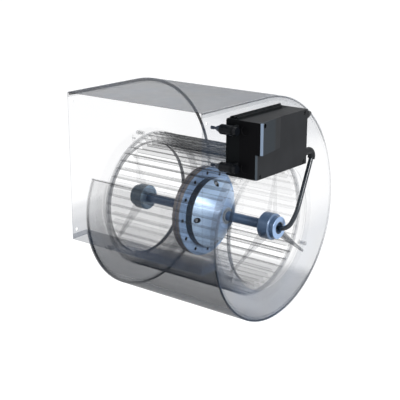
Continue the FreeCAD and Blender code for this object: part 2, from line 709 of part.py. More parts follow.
# Inlet rings, rolled from sheet
inlet_profile = [
    ("inner_face", "mouth_radius", "y"),
    ("inner_face", "inlet_rim"),
    ("fold_face", "inlet_rim"),
    ("fold_face", "mouth_radius", "xy", ("roll_face", "mouth_radius", "right")),
    ("roll_face", "inlet_radius + sheet_wall", "x"),
    ("inlet_end", "inlet_radius + sheet_wall"),
    ("inlet_end", "inlet_radius"),
    ("roll_face", "inlet_radius", "xy", ("roll_face", "mouth_radius", "left")),
]


def inlet_ring(side):
    name = "inlet_ring_" + side
    feature = turned(name, inlet_profile)
    start = "fold_face - cut_past"
    if side == "left":
        feature = mirrored(feature, name)
        start = "-inner_face - cut_past"
    tools = joined(name + "_holes", drills(name, side, start, "sheet_wall + 2 * cut_past"))
    return node(cut(name, feature, tools), name)


inlet_ring("left")
inlet_ring("right")

# Support arms, each a strip folded double with its two legs spread to the collar
arm_side = doc.addObject("PartDesign::Body", "arm_side_view")
arm_sketch = drawing(arm_side, "arm_side_profile", "XZ_Plane", "-arm_root_width")
loop(arm_sketch, [
    ("leg_in", "leg_root"),
    ("leg_in + arm_strip", "leg_root"),
    ("half_width + arm_strip", "arm_fold_radius - arm_strip"),
    ("leg_out - arm_strip", "leg_root"),
    ("leg_out", "leg_root"),
    ("arm_face", "arm_fold_radius"),
    ("arm_face", "arm_tip_radius"),
    ("half_width", "arm_tip_radius"),
    ("half_width", "arm_fold_radius"),
], "a")
pad(arm_side, arm_sketch, "arm_side_pad", "2 * arm_root_width")
arm_front = doc.addObject("PartDesign::Body", "arm_front_view")
front_sketch = drawing(arm_front, "arm_front_profile", "YZ_Plane", "collar_start")
loop(front_sketch, [
    ("-arm_root_width / 2", "leg_root"),
    ("arm_root_width / 2", "leg_root"),
    ("arm_tip_width / 2", "arm_tip_radius"),
    ("-arm_tip_width / 2", "arm_tip_radius"),
], "b")
pad(arm_front, front_sketch, "arm_front_pad", "collar_length")
arm_blank = doc.addObject("Part::Common", "arm_blank")
arm_blank.Base = arm_side
arm_blank.Tool = arm_front
arm_tools = joined("arm_tools", [
    rod("arm_collar_tool", "collar_radius", "collar_start", "collar_length"),
    rod("arm_rivet_tool", "rivet_shank", "half_width - cut_past", "2 * arm_strip + 2 * cut_past",
        "0", "rivet_circle"),
])
arm_pattern = cut("arm_pattern", arm_blank, arm_tools)
doc.recompute()
for side, facing in (("left", Rotation(Vector(0, 0, 1), 180)), ("right", Rotation())):
    for i in range(arm_total):
        name = "support_arm_%s_%d" % (side, i + 1)
        arm = shaped(name, arm_pattern.Shape.copy())
        angle = number("arm_turn_" + side) + 360.0 * i / arm_total
        arm.Placement = Placement(Vector(0, 0, 0), Rotation(Vector(1, 0, 0), angle).multiply(facing))
        node(arm, name)


# Rivets through the arms, and the screws and rubber nuts of the inlet rings
def at_inlets(shape, circle, lead="0"):
    """Copies of a fastener at every arm, its X 0 on the face of the side plate."""
    copies = []
    for side, half_turn, way in (("left", 180.0, -1), ("right", 0.0, 1)):
        fastener = placed(shape, "half_width", "0", circle)
        fastener.rotate(Vector(0, 0, 0), Vector(0, 0, 1), half_turn)
        turn = "arm_turn_%s + %d * (%s)" % (side, way, lead)
        copies += around(fastener, "arm_count", turn).Solids
    return Part.makeCompound(copies)


rivet_head = Part.makeCone(number("rivet_head"), number("rivet_crown"), number("rivet_rise"),
                           Vector(number("2 * arm_strip"), 0, 0), Vector(1, 0, 0))
rivet = bar("rivet_shank", "-2 * sheet_wall", "2 * arm_strip")
rivet = rivet.fuse([rivet_head, bar("rivet_tail", "-2 * sheet_wall - rivet_rise", "-2 * sheet_wall")])
node(shaped("arm_rivet_set", at_inlets(rivet, "rivet_circle")), "arm_rivets")
ring_screw = screw("ring_screw", "2 * sheet_wall + rubber_nut_length - ring_screw_short")
node(shaped("ring_screw_set", at_inlets(ring_screw, "ring_screw_circle", "ring_screw_lead")),
     "ring_screws")
rubber_nut = bar("rubber_nut_radius", "-2 * sheet_wall - rubber_nut_length", "-2 * sheet_wall").cut(ring_screw)
node(shaped("rubber_nut_set", at_inlets(rubber_nut, "ring_screw_circle", "ring_screw_lead")),
     "rubber_nuts")

# Collars and their bushes
collar = turned("collar_right_ring", [
    ("collar_start", "bush_radius"),
    ("collar_start", "collar_radius - collar_chamfer"),
    ("collar_start + collar_chamfer", "collar_radius"),
    ("collar_end - collar_chamfer / 2", "collar_radius"),
    ("collar_end", "collar_radius - collar_chamfer / 2"),
    ("collar_end", "bush_radius"),
])
node(collar, "collar_right")
node(mirrored(collar, "collar_left"), "collar_left")
bush = turned("bush_right_ring", [
    ("collar_start + bush_set_in", "shaft_radius"),
    ("collar_start + bush_set_in", "bush_radius"),
    ("collar_end - bush_set_in", "bush_radius"),
    ("collar_end - bush_set_in", "shaft_radius"),
])
node(bush, "bush_right")
node(mirrored(bush, "bush_left"), "bush_left")

# Fixed hollow shaft and the nuts at its ends, one of them round the cable
shaft = turned("shaft_tube", [
    ("-shaft_end", "shaft_bore"),
    ("-shaft_end", "shaft_radius - shaft_chamfer"),
    ("shaft_chamfer - shaft_end", "shaft_radius"),
    ("shaft_end - shaft_chamfer", "shaft_radius"),
    ("shaft_end", "shaft_radius - shaft_chamfer"),
    ("shaft_end", "shaft_bore"),
])
node(shaft, "shaft")
nut = turned("cable_nut_ring", [
    ("collar_end", "shaft_radius"),
    ("collar_end", "nut_radius"),
    ("nut_end - nut_chamfer", "nut_radius"),
    ("nut_end", "nut_radius - nut_chamfer"),
    ("nut_end", "shaft_radius"),
])
node(nut, "cable_nut")
node(mirrored(nut, "end_nut"), "end_nut")

# Wheel: end rings, centre disc and blades
end_ring = turned("end_ring_right_turned", [
    ("wheel_half - ring_depth", "band_radius"),
    ("wheel_half - ring_depth", "wheel_radius"),
    ("wheel_half", "wheel_radius"),
    ("wheel_half", "ring_bore"),
    ("wheel_half - ring_wall", "ring_bore"),
    ("wheel_half - ring_wall", "band_radius"),
])
node(end_ring, "end_ring_right")
node(mirrored(end_ring, "end_ring_left"), "end_ring_left")


def blade_shape(half_length):
    """A forward-curved blade: radial at its inner edge, then rolled through one
    arc, leaning the way the wheel turns, until it meets the end rings."""
    sweep = math.radians(number("blade_turn"))
    inner = number("blade_inner")
    tip = number("blade_tip")
    rise = 1 - math.cos(sweep)
    run = inner * math.sin(sweep)
    bend = (math.sqrt(run ** 2 + 2 * rise * (tip ** 2 - inner ** 2)) - run) / (2 * rise)
    faces = []
    for radius in (bend, bend - number("blade_wall")):
        points = []
        for share in (0.0, 0.5, 1.0):
            y = inner + radius * math.sin(sweep * share)
            z = bend - radius * math.cos(sweep * share)
            points.append(Vector(-half_length, y, z))
        faces.append(points)
    outer, near = faces
    edges = [
        Part.Arc(outer[0], outer[1], outer[2]).toShape(),
        Part.LineSegment(outer[2], near[2]).toShape(),
        Part.Arc(near[2], near[1], near[0]).toShape(),
        Part.LineSegment(near[0], outer[0]).toShape(),
    ]
    return Part.Face(Part.Wire(edges)).extrude(Vector(2 * half_length, 0, 0))


blades = around(blade_shape(number("wheel_half - ring_wall")), "blade_count")
node(shaped("blade_set", blades), "blades")

disc_blank = turned("centre_disc_blank", [
    ("-disc_wall / 2", "can_radius"),
    ("-disc_wall / 2", "disc_rim"),
    ("disc_wall / 2", "disc_rim"),
    ("disc_wall / 2", "can_radius"),
])
slot_tools = shaped("centre_disc_slots", around(blade_shape(number("disc_wall")), "blade_count"))
bolt_hole = bar("bolt_shank", "-2 * flange_half", "2 * flange_half", "bolt_circle")
bolt_holes = shaped("flange_bolt_holes", around(bolt_hole, "bolt_count", "bolt_turn"))
disc_slotted = cut("centre_disc_slotted", disc_blank, slot_tools)
node(cut("centre_disc_holed", disc_slotted, bolt_holes), "centre_disc")

# Motor flanges, clamped to both faces of the centre disc by bolts and nuts
flange_ring = turned("motor_flange_ring", [
    ("disc_wall / 2", "can_radius"),
    ("disc_wall / 2", "flange_radius"),
    ("flange_half - flange_chamfer", "flange_radius"),
    ("flange_half", "flange_radius - flange_chamfer"),
    ("flange_half", "can_radius"),
])
sunk_hole = bar("bolt_head + bolt_play", "bolt_seat", "flange_half", "bolt_circle").fuse(bolt_hole)
sunk_holes = shaped("flange_sunk_holes", around(sunk_hole, "bolt_count", "bolt_turn"))
node(cut("motor_flange_front", flange_ring, sunk_holes), "motor_flange_right")
flange_mirror = mirrored(flange_ring, "motor_flange_left")
node(cut("motor_flange_back", flange_mirror, bolt_holes), "motor_flange_left")
bolt = placed(screw("bolt", "bolt_seat + flange_half + bolt_tail"), "bolt_seat", "0", "bolt_circle")
node(shaped("flange_bolt_set", around(bolt, "bolt_count", "bolt_turn")), "flange_bolts")
bolt_nut = hexagon(number("bolt_nut"), 0, -number("bolt_nut_height"))
bolt_nut = placed(bolt_nut, "-flange_half", "0", "bolt_circle").cut(bolt_hole)
node(shaped("flange_nut_set", around(bolt_nut, "bolt_count", "bolt_turn")), "flange_nuts")

# Rotor can, tapped at both ends for the screws of the end shields
can = turned("rotor_can_tube", [
    ("-can_half", "can_bore"),
    ("-can_half", "can_radius"),
    ("can_half", "can_radius"),
    ("can_half", "can_bore"),
])
tap_end = "can_half - shield_screw_bite - shield_screw_spare"
taps = around(bar("shield_screw_shank", tap_end, "can_half", "shield_screw_circle"), "shield_screw_count")
taps_left = taps.mirror(Vector(0, 0, 0), Vector(1, 0, 0))
tapped = shaped("rotor_can_taps", Part.makeCompound(taps.Solids + taps_left.Solids))
node(cut("rotor_can_tapped", can, tapped), "rotor_can")

# End shields, with a well over each screw
shield = turned("end_shield_turned", [
    ("can_half", "can_radius"),
    ("can_half + dome_height", "dome_top"),
    ("shield_top", "dome_top - dome_step"),
    ("shield_top", "bearing_radius"),
    ("seat_start", "bearing_radius"),
    ("seat_start", "hub_bore"),
    ("hub_back", "hub_bore"),
    ("hub_back", "bearing_radius + hub_wall"),
    ("web_face", "bearing_radius + hub_wall"),
    ("web_face", "web_radius"),
    ("shield_back", "shield_bore"),
    ("can_half", "shield_bore"),
])
well = bar("shield_screw_head + shield_screw_play", "well_floor", "shield_top", "shield_screw_circle")
well = well.fuse(bar("shield_screw_shank", tap_end, "well_floor", "shield_screw_circle"))
wells = shaped("end_shield_wells", around(well, "shield_screw_count"))
end_shield = cut("end_shield", shield, wells)
node(end_shield, "end_shield_right")
node(mirrored(end_shield, "end_shield_left"), "end_shield_left")
shield_screw = screw("shield_screw", "shield_screw_floor + shield_screw_bite")
shield_screw = placed(shield_screw, "well_floor", "0", "shield_screw_circle")
right_screws = around(shield_screw, "shield_screw_count")
left_screws = right_screws.mirror(Vector(0, 0, 0), Vector(1, 0, 0))
node(shaped("shield_screw_set", Part.makeCompound(right_screws.Solids + left_screws.Solids)),
     "shield_screws")

# Bearings and hub caps
bearing = turned("bearing_ring", [
    ("seat_start", "shaft_radius + bearing_fit"),
    ("seat_start", "bearing_radius"),
    ("seat_end", "bearing_radius"),
    ("seat_end", "shaft_radius + bearing_fit"),
])
node(bearing, "bearing_right")
node(mirrored(bearing, "bearing_left"), "bearing_left")
cap = turned("hub_cap_turned", [
    ("seat_end", "shaft_radius + cap_clearance"),
    ("seat_end", "bearing_radius"),
    ("shield_top", "bearing_radius"),
    ("shield_top", "cap_radius"),
    ("shield_top + cap_boss - cap_chamfer", "cap_radius"),
    ("shield_top + cap_boss", "cap_radius - cap_chamfer"),
    ("shield_top + cap_boss", "shaft_radius + cap_clearance"),
])
node(cap, "hub_cap_right")
node(mirrored(cap, "hub_cap_left"), "hub_cap_left")

# Magnets inside the can
magnet_span = number("360 / magnet_count - magnet_gap")
magnet = Part.makeCylinder(number("can_bore"), number("2 * magnet_half"),
                           Vector(-number("magnet_half"), 0, 0), Vector(1, 0, 0), magnet_span)
magnet = magnet.cut(bar("magnet_bore", "-magnet_half", "magnet_half"))
node(shaped("magnet_set", around(magnet, "magnet_count")), "magnets")


# Stator: a toothed core on the fixed shaft, with a coil round each tooth
def slab(half_length, half_width, low, high):
    """A block across the shaft axis, between two heights above it."""
    x = number(half_length)
    y = number(half_width)
    return Part.makeBox(2 * x, 2 * y, number("(%s) - (%s)" % (high, low)), Vector(-x, -y, number(low)))


core = bar("stator_hub", "-stator_half", "stator_half")
tooth = slab("stator_half", "tooth_width / 2", "shaft_radius", "stator_radius - tooth_head / 2")
core = core.fuse(around(tooth, "tooth_count").Solids)
heads = bar("stator_radius", "-stator_half", "stator_half")
heads = heads.cut(bar("stator_radius - tooth_head", "-stator_half", "stator_half"))
mouth = slab("stator_half", "slot_mouth / 2", "0", "stator_radius + cut_past")
heads = heads.cut(around(mouth, "tooth_count", "180 / tooth_count").Solids)
core = core.fuse(heads.Solids).removeSplitter()
core = core.cut(bar("shaft_radius", "-stator_half", "stator_half"))
node(shaped("stator_laminations", core), "stator_core")
coil = slab("stator_half + coil_end", "coil_out", "coil_low", "coil_high")
coil = coil.cut(slab("stator_half", "tooth_width / 2", "0", "stator_radius"))
node(shaped("stator_coil_set", around(coil, "tooth_count")), "stator_coils")

# Controller base: an open tray with cooling ribs, board posts, screw pillars and buffer lugs
screw_spots = []
for y in ("box_front + cover_screw_inset", "box_rear - cover_screw_inset"):
    for z in ("box_bottom + cover_screw_edge", "box_top - cover_screw_edge"):
        screw_spots.append((y, z))
base_parts = [block("base_block", "base_face", "box_front", "box_bottom",
                    "base_depth", "box_length", "box_height")]
for i in range(int(number("rib_count"))):
    base_parts.append(block("base_rib_%d" % i, "base_face + rib_start + %d * rib_pitch" % i,
                            "box_front + rib_inset", "box_top", "rib_wall",
                            "box_length - 2 * rib_inset - %d * rib_step" % i, "rib_height"))
base_solid = joined("base_solid", base_parts)
base_pocket = block("base_pocket", "base_floor", "box_front + box_wall", "box_bottom + box_wall",
                    "base_depth", "box_length - 2 * box_wall", "box_height - 2 * box_wall")
extras = [cut("base_open", base_solid, base_pocket)]
for place, y in (("front", "box_front + box_wall + board_post_inset"),
                 ("rear", "box_rear - box_wall - board_post_inset")):
    for level, z in (("low", "box_bottom + box_wall + board_post_low"),
                     ("high", "box_top - box_wall - board_post_low")):
        extras.append(rod("board_post_%s_%s" % (place, level), "board_post", "base_floor",
                          "board_rise", y, z))
base_tools = []
for i, (y, z) in enumerate(screw_spots):
    extras.append(rod("base_pillar_%d" % i, "pillar_radius", "base_floor", "split_face - base_floor", y, z))
    base_tools.append(rod("base_bore_%d" % i, "cover_screw_shank", "split_face - cover_screw_bite",
                          "cover_screw_bite + cut_past", y, z))
for place, y, z in buffer_places:
    start = "box_rear" if place == "rear" else y
    extras.append(block("lug_" + place, "lug_face", start, "%s - buffer_radius" % z,
                        "lug_wall", "buffer_ahead", "2 * buffer_radius"))
    extras.append(rod("lug_end_" + place, "buffer_radius", "lug_face", "lug_wall", y, z))
    base_tools.append(rod("lug_hole_" + place, "lug_bore", "lug_face - cut_past",
                          "lug_wall + 2 * cut_past", y, z))
base_full = joined("base_full", extras)
node(cut("base_finished", base_full, joined("base_tools", base_tools)), "controller_base")

board = block("circuit_board_sheet", "board_face", "box_front + box_wall + board_gap",
              "box_bottom + box_wall + board_inset", "board_wall",
              "box_length - 2 * (box_wall + board_gap)", "box_height - 2 * (box_wall + board_inset)")
node(board, "circuit_board")

# Controller cover: a deep lid with a raised front corner
cover_body = doc.addObject("PartDesign::Body", "cover_body")
cover_sketch = drawing(cover_body, "cover_plan", "XY_Plane", "box_bottom")
loop(cover_sketch, [
    ("split_face", "box_front"),
    ("cover_face - cover_edge", "box_front"),
    ("cover_face", "box_front + cover_edge"),
    ("cover_face", "box_rear"),
    ("split_face", "box_rear"),
], "c")
pad(cover_body, cover_sketch, "cover_pad", "box_height - brow_height")
brow_sketch = drawing(cover_body, "cover_brow_plan", "XY_Plane", "brow_bottom")
loop(brow_sketch, [
    ("split_face", "box_front"),
    ("brow_face - brow_edge", "box_front"),
    ("brow_face - brow_rise * brow_edge / brow_length", "box_front + brow_edge"),
    ("cover_face", "box_front + brow_length"),
    ("cover_face", "box_rear"),
    ("split_face", "box_rear"),
], "w")
pad(cover_body, brow_sketch, "cover_brow_pad", "brow_height")
cover_pocket = block("cover_pocket", "split_face - cut_past", "box_front + box_wall",
                     "box_bottom + box_wall", "cover_depth - box_wall + cut_past",
                     "box_length - 2 * box_wall", "box_height - 2 * box_wall")
pillars = [cut("cover_hollow", cover_body, cover_pocket)]
cover_tools = []
for i, (y, z) in enumerate(screw_spots):
    pillars.append(rod("cover_pillar_%d" % i, "pillar_radius", "split_face",
                       "cover_depth - box_wall / 2", y, z))
    cover_tools.append(rod("cover_well_%d" % i, "cover_screw_head + cover_screw_play", "cover_seat",
                           "cover_screw_well + brow_rise + cut_past", y, z))
    cover_tools.append(rod("cover_bore_%d" % i, "cover_screw_shank", "split_face - cut_past",
                           "cover_depth", y, z))
for level in ("low", "high"):
    cover_tools.append(post("cover_knockout_" + level, "knockout_radius", "box_front - cut_past",
                            "knockout_depth + cut_past", "split_face + knockout_inset",
                            "buffer_" + level))
    cover_tools.append(post("cover_gland_hole_" + level, "gland_hole", "box_rear - box_wall - cut_past",
                            "box_wall + 2 * cut_past", "gland_axis", "gland_" + level))
cover_full = joined("cover_full", pillars)
node(cut("cover_cut", cover_full, joined("cover_tools", cover_tools)), "controller_cover")
cover_screw = screw("cover_screw", "cover_seat - split_face + cover_screw_bite")
cover_screws = [placed(cover_screw, "cover_seat", y, z) for y, z in screw_spots]
node(shaped("cover_screw_set", Part.makeCompound(cover_screws)), "cover_screws")

# Rubber buffers, pulled through the side plate by their noses
for place, y, z in buffer_places:
    rubber_buffer = turned("buffer_" + place, [
        ("nose_tip", "0"),
        ("nose_tip", "buffer_knob"),
        ("nose_tip + buffer_knob_length", "buffer_knob"),
        ("nose_tip + buffer_knob_length", "buffer_tail"),
        ("inner_face - buffer_cone", "buffer_tail"),
        ("inner_face", "buffer_flare"),
        ("inner_face", "buffer_neck"),
        ("half_width", "buffer_neck"),
        ("half_width", "buffer_radius"),
        ("lug_face", "buffer_radius"),
        ("lug_face", "lug_bore"),
        ("lug_end", "lug_bore"),
        ("lug_end", "buffer_head"),
        ("lug_end + buffer_head_length", "buffer_head - buffer_taper"),
        ("lug_end + buffer_head_length", "0"),
    ])
    bind(rubber_buffer, Placement__Base__y=y, Placement__Base__z=z)
    node(rubber_buffer, "buffer_" + place)

# Blank gland, turned about an axis along Y
gland = turned("blank_gland", [
    ("-gland_depth", "0"),
    ("-gland_depth", "gland_hole"),
    ("0", "gland_hole"),
    ("0", "blank_radius + gland_rim"),
    ("gland_rim_length", "blank_radius + gland_rim"),
    ("gland_rim_length", "blank_radius"),
    ("blank_length - blank_nose", "blank_radius"),
    ("blank_length - blank_round", "blank_tip"),
    ("blank_length", "0"),
])
gland.Placement = Placement(Vector(0, 0, 0), Rotation(Vector(0, 0, 1), 90))
bind(gland, Placement__Base__x="gland_axis", Placement__Base__y="box_rear", Placement__Base__z="gland_high")
node(gland, "gland_blank")

# The cable boot: out of the cover's rear, then an elbow down towards the shaft
boot_mouth = Vector(number("gland_axis"), number("box_rear"), number("gland_low"))
back = Vector(0, 1, 0)
bend_radius = number("boot_bend")
elbow_angle = math.radians(number("boot_turn"))


def elbow_at(angle):
    """A point of the elbow's arc, at an angle past its start."""
    return boot_mouth + Vector(0, number("boot_straight") + bend_radius * math.sin(angle),
                               bend_radius * (math.cos(angle) - 1))


def tube(edges, radius):
    """Sweep a round section along straight runs and tangent arcs."""
    start = edges[0].Vertexes[0].Point
    along = edges[0].tangentAt(edges[0].FirstParameter)
    section = Part.Wire([Part.makeCircle(radius, start, along)])
    return Part.Wire(edges).makePipeShell([section], True, False)


elbow_arc = Part.Arc(elbow_at(0), elbow_at(elbow_angle / 2), elbow_at(elbow_angle)).toShape()
boot_edges = [Part.LineSegment(boot_mouth, elbow_at(0)).toShape(), elbow_arc]
plug_start = boot_mouth - back * number("gland_depth")
boot = tube(boot_edges, number("boot_radius"))
boot = boot.fuse([
    Part.makeCylinder(number("boot_radius + gland_rim"), number("gland_rim_length"), boot_mouth, back),
    Part.makeCylinder(number("gland_hole"), number("gland_depth"), plug_start, back),
])
boot_bore = tube(boot_edges, number("cable_radius"))
boot_bore = boot_bore.fuse(Part.makeCylinder(number("cable_radius"), number("gland_depth + cut_past"),
                                             plug_start - back * number("cut_past"), back))
node(shaped("cable_boot", boot.cut(boot_bore)), "cable_boot")

# The motor cable: through the boot, down, and into the shaft
fall = Vector(0, math.cos(elbow_angle), -math.sin(elbow_angle)) * number("cable_run")
cable_points = [
    elbow_at(elbow_angle),
    elbow_at(elbow_angle) + fall,
    Vector(number("nut_end + cable_loop"), 0, 0),
    Vector(number("cable_end"), 0, 0),
]
cable_start = boot_mouth - back * number("box_wall + cable_tail")
cable_edges = [Part.LineSegment(cable_start, elbow_at(0)).toShape(), elbow_arc]
reached = cable_points[0]
for before, point, after in zip(cable_points, cable_points[1:], cable_points[2:]):
    arriving = point - before
    leaving = after - point
    half_turn = arriving.getAngle(leaving) / 2
    reach = 0.45 * min(arriving.Length, leaving.Length)
    radius = reach / math.tan(half_turn)
    arriving.normalize()
    leaving.normalize()
    inward = (leaving - arriving).normalize()
    arc_start = point - arriving * reach
    arc_middle = point + inward * (radius / math.cos(half_turn) - radius)
    arc_end = point + leaving * reach
    cable_edges.append(Part.LineSegment(reached, arc_start).toShape())
    cable_edges.append(Part.Arc(arc_start, arc_middle, arc_end).toShape())
    print("cable arc radius %.1f" % radius)
    reached = arc_end
cable_edges.append(Part.LineSegment(reached, cable_points[-1]).toShape())
cable = tube(cable_edges, number("cable_radius"))
cable_length = sum(edge.Length for edge in cable_edges)
cable_section = math.pi * number("cable_radius") ** 2
print("cable length %.1f, volume over section times length %.4f"
      % (cable_length, cable.Volume / (cable_section * cable_length)))
node(shaped("motor_cable_lead", cable), "motor_cable")

# Build everything, test it, and write one file per sub-part
doc.recompute()
for feature in doc.Objects:
    for word in ("Invalid", "Error"):
        if word in feature.State:
            raise RuntimeError("%s is %s" % (feature.Label, feature.State))
for feature in nodes:
    shape = feature.Shape
    if shape.isNull() or not shape.isValid() or not shape.Solids:
        raise RuntimeError("%s has no sound shape" % feature.Label)

os.makedirs("parts", exist_ok=True)
for feature in nodes:
    feature.Shape.exportStep("parts/%s.step" % feature.Label)
    print("%-22s solids %2d faces %4d volume %.0f" % (
        feature.Label, len(feature.Shape.Solids), len(feature.Shape.Faces), feature.Shape.Volume))
print("nodes", len(nodes))
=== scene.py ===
import bpy
import math
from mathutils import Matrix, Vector


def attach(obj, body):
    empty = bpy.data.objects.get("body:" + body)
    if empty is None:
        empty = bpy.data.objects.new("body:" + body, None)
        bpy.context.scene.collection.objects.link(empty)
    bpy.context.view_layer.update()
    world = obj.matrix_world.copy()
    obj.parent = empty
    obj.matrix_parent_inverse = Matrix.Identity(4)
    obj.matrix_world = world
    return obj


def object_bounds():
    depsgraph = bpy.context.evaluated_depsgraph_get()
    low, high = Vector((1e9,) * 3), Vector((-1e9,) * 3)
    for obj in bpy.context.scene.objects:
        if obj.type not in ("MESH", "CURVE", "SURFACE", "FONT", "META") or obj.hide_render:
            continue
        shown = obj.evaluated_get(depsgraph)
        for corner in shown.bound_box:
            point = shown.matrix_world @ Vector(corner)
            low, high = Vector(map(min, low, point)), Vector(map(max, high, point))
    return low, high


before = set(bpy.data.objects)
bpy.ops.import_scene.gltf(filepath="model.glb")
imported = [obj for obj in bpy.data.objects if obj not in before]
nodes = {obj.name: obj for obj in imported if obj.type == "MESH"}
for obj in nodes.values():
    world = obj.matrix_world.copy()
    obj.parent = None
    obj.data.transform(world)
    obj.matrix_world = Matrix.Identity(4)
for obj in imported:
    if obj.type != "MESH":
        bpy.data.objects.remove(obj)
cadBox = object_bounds()

# directions in the fan's own frame
alongShaft = (1.0, 0.0, 0.0)
toOutlet, toRear = (0.0, -1.0, 0.0), (0.0, 1.0, 0.0)
upward, downward = (0.0, 0.0, 1.0), (0.0, 0.0, -1.0)


# Makes a shader node, sets its own settings, and fills or links its inputs by name or number
def addNode(tree, kind, inputs=None, **settings):
    item = tree.nodes.new("ShaderNode" + kind)
    for key, value in settings.items():
        setattr(item, key, value)
    for key, value in (inputs or {}).items():
        if isinstance(value, bpy.types.NodeSocket):
            tree.links.new(value, item.inputs[key])
        else:
            item.inputs[key].default_value = value
    return item


def addMath(tree, operation, first, second=0.0):
    return addNode(tree, "Math", {0: first, 1: second}, operation=operation).outputs[0]


def mixColour(tree, mask, low, high):
    return addNode(tree, "Mix", {0: mask, 6: low, 7: high}, data_type="RGBA").outputs[2]


def mixValue(tree, mask, low, high):
    return addNode(tree, "Mix", {0: mask, 2: low, 3: high}, data_type="FLOAT").outputs[0]


def newMaterial(name):
    mat = bpy.data.materials.new(name)
    mat.use_nodes = True
    return mat, mat.node_tree, mat.node_tree.nodes["Principled BSDF"]


def addPiece(name, points, faces, smooth=False):
    mesh = bpy.data.meshes.new(name)
    mesh.from_pydata(points, [], faces)
    mesh.validate()
    for poly in mesh.polygons:
        poly.use_smooth = smooth
    piece = bpy.data.objects.new(name, mesh)
    bpy.context.scene.collection.objects.link(piece)
    return piece


# Camera: where the photo was taken from, fitted to the fan's inlets, wheel and outline
cameraSettings = {
    "place": (1.1793, -1.4933, 0.5891),   # metres
    "azimuth": 38.556, "elevation": 16.593,   # degrees
    "lens": 87.14, "sensor": 36.0,   # millimetres
    "near": 0.05, "far": 60.0,
}

cameraData = bpy.data.cameras.new("photoCamera")
cameraData.lens = cameraSettings["lens"]
cameraData.sensor_width = cameraSettings["sensor"]
cameraData.clip_start = cameraSettings["near"]
cameraData.clip_end = cameraSettings["far"]
camera = bpy.data.objects.new("photoCamera", cameraData)
camera.location = cameraSettings["place"]
camera.rotation_euler = (math.radians(90.0 - cameraSettings["elevation"]), 0.0,
                         math.radians(cameraSettings["azimuth"]))
bpy.context.scene.collection.objects.link(camera)
bpy.context.scene.camera = camera


# 1 for rays that come straight from the camera, off a mirror or through glass
def backdropRays(tree):
    path = addNode(tree, "LightPath")
    seen = addMath(tree, "MAXIMUM", path.outputs["Is Camera Ray"], path.outputs["Is Glossy Ray"])
    return addMath(tree, "MAXIMUM", seen, path.outputs["Is Transmission Ray"])


# Studio: white to look at, soft grey for the light that it gives
worldSettings = {
    "ambient": (0.27, 0.28, 0.30, 1.0),
    "backdrop": (1.0, 1.0, 1.0, 1.0),
}

world = bpy.data.worlds.new("studio")
bpy.context.scene.world = world
world.use_nodes = True
worldTree = world.node_tree
worldTree.links.new(mixColour(worldTree, backdropRays(worldTree), worldSettings["ambient"],
                              worldSettings["backdrop"]),
                    worldTree.nodes["Background"].inputs["Color"])

lampSettings = {
    # name: place and aim in metres, size across, watts
    "inletSide": ((2.30, -0.55, 0.86), (0.05, 0.0, 0.0), 0.80, 50.0),
    "overhead": ((0.2, 0.7, 2.2), (0.0, 0.0, 0.0), 1.6, 22.0),
    "outletSide": ((-0.9, -2.1, 1.2), (0.0, 0.0, 0.05), 1.4, 4.0),
}

for lampName, (place, aim, size, watts) in lampSettings.items():
    lampData = bpy.data.lights.new(lampName, "AREA")
    lampData.shape = "DISK"
    lampData.size = size
    lampData.energy = watts
    lamp = bpy.data.objects.new(lampName, lampData)
    lamp.location = place
    lamp.rotation_euler = (Vector(aim) - Vector(place)).to_track_quat("-Z", "Y").to_euler()
    bpy.context.scene.collection.objects.link(lamp)

# Floor: the fan hangs above it; glow is what makes it white in the picture
floorSettings = {
    "below": 0.42, "half": 14.0,
    "colour": (0.30, 0.303, 0.306, 1.0), "rough": 0.8,
    "glowColour": (1.0, 1.0, 1.0, 1.0), "glow": 0.90,
}

floorHalf, floorZ = floorSettings["half"], cadBox[0].z - floorSettings["below"]
floorCorners = [(-1, -1), (1, -1), (1, 1), (-1, 1)]
floor = addPiece("studioFloor", [(floorHalf * x, floorHalf * y, floorZ) for x, y in floorCorners],
                 [(0, 1, 2, 3)])
floorMat, floorTree, floorShader = newMaterial("paleFloor")
floorShader.inputs["Base Color"].default_value = floorSettings["colour"]
floorShader.inputs["Roughness"].default_value = floorSettings["rough"]
floorShader.inputs["Emission Color"].default_value = floorSettings["glowColour"]
floorTree.links.new(addMath(floorTree, "MULTIPLY", backdropRays(floorTree), floorSettings["glow"]),
                    floorShader.inputs["Emission Strength"])
floor.data.materials.append(floorMat)
print("camera, lamps and floor made")


# Effects that several materials use are node groups
def newGroup(name, inputs, outputs):
    group = bpy.data.node_groups.new(name, "ShaderNodeTree")
    for label, kind, value in inputs:
        socket = group.interface.new_socket(name=label, in_out="INPUT",
                                            socket_type="NodeSocket" + kind)
        socket.default_value = value
    for label in outputs:
        group.interface.new_socket(name=label, in_out="OUTPUT", socket_type="NodeSocketFloat")
    groupIn, groupOut = group.nodes.new("NodeGroupInput"), group.nodes.new("NodeGroupOutput")
    return group, groupIn.outputs, groupOut.inputs


def useGroup(tree, group, inputs, output):
    return addNode(tree, "Group", inputs, node_tree=group).outputs[output]


# Place on the object, split in x, y and z
def splitPlace(tree):
    return addNode(tree, "SeparateXYZ", {0: addNode(tree, "TexCoord").outputs["Object"]}).outputs


def flatLength(tree, first, second):
    flat = addNode(tree, "CombineXYZ", {"X": first, "Y": second})
    return addNode(tree, "VectorMath", {0: flat.outputs[0]}, operation="LENGTH").outputs["Value"]


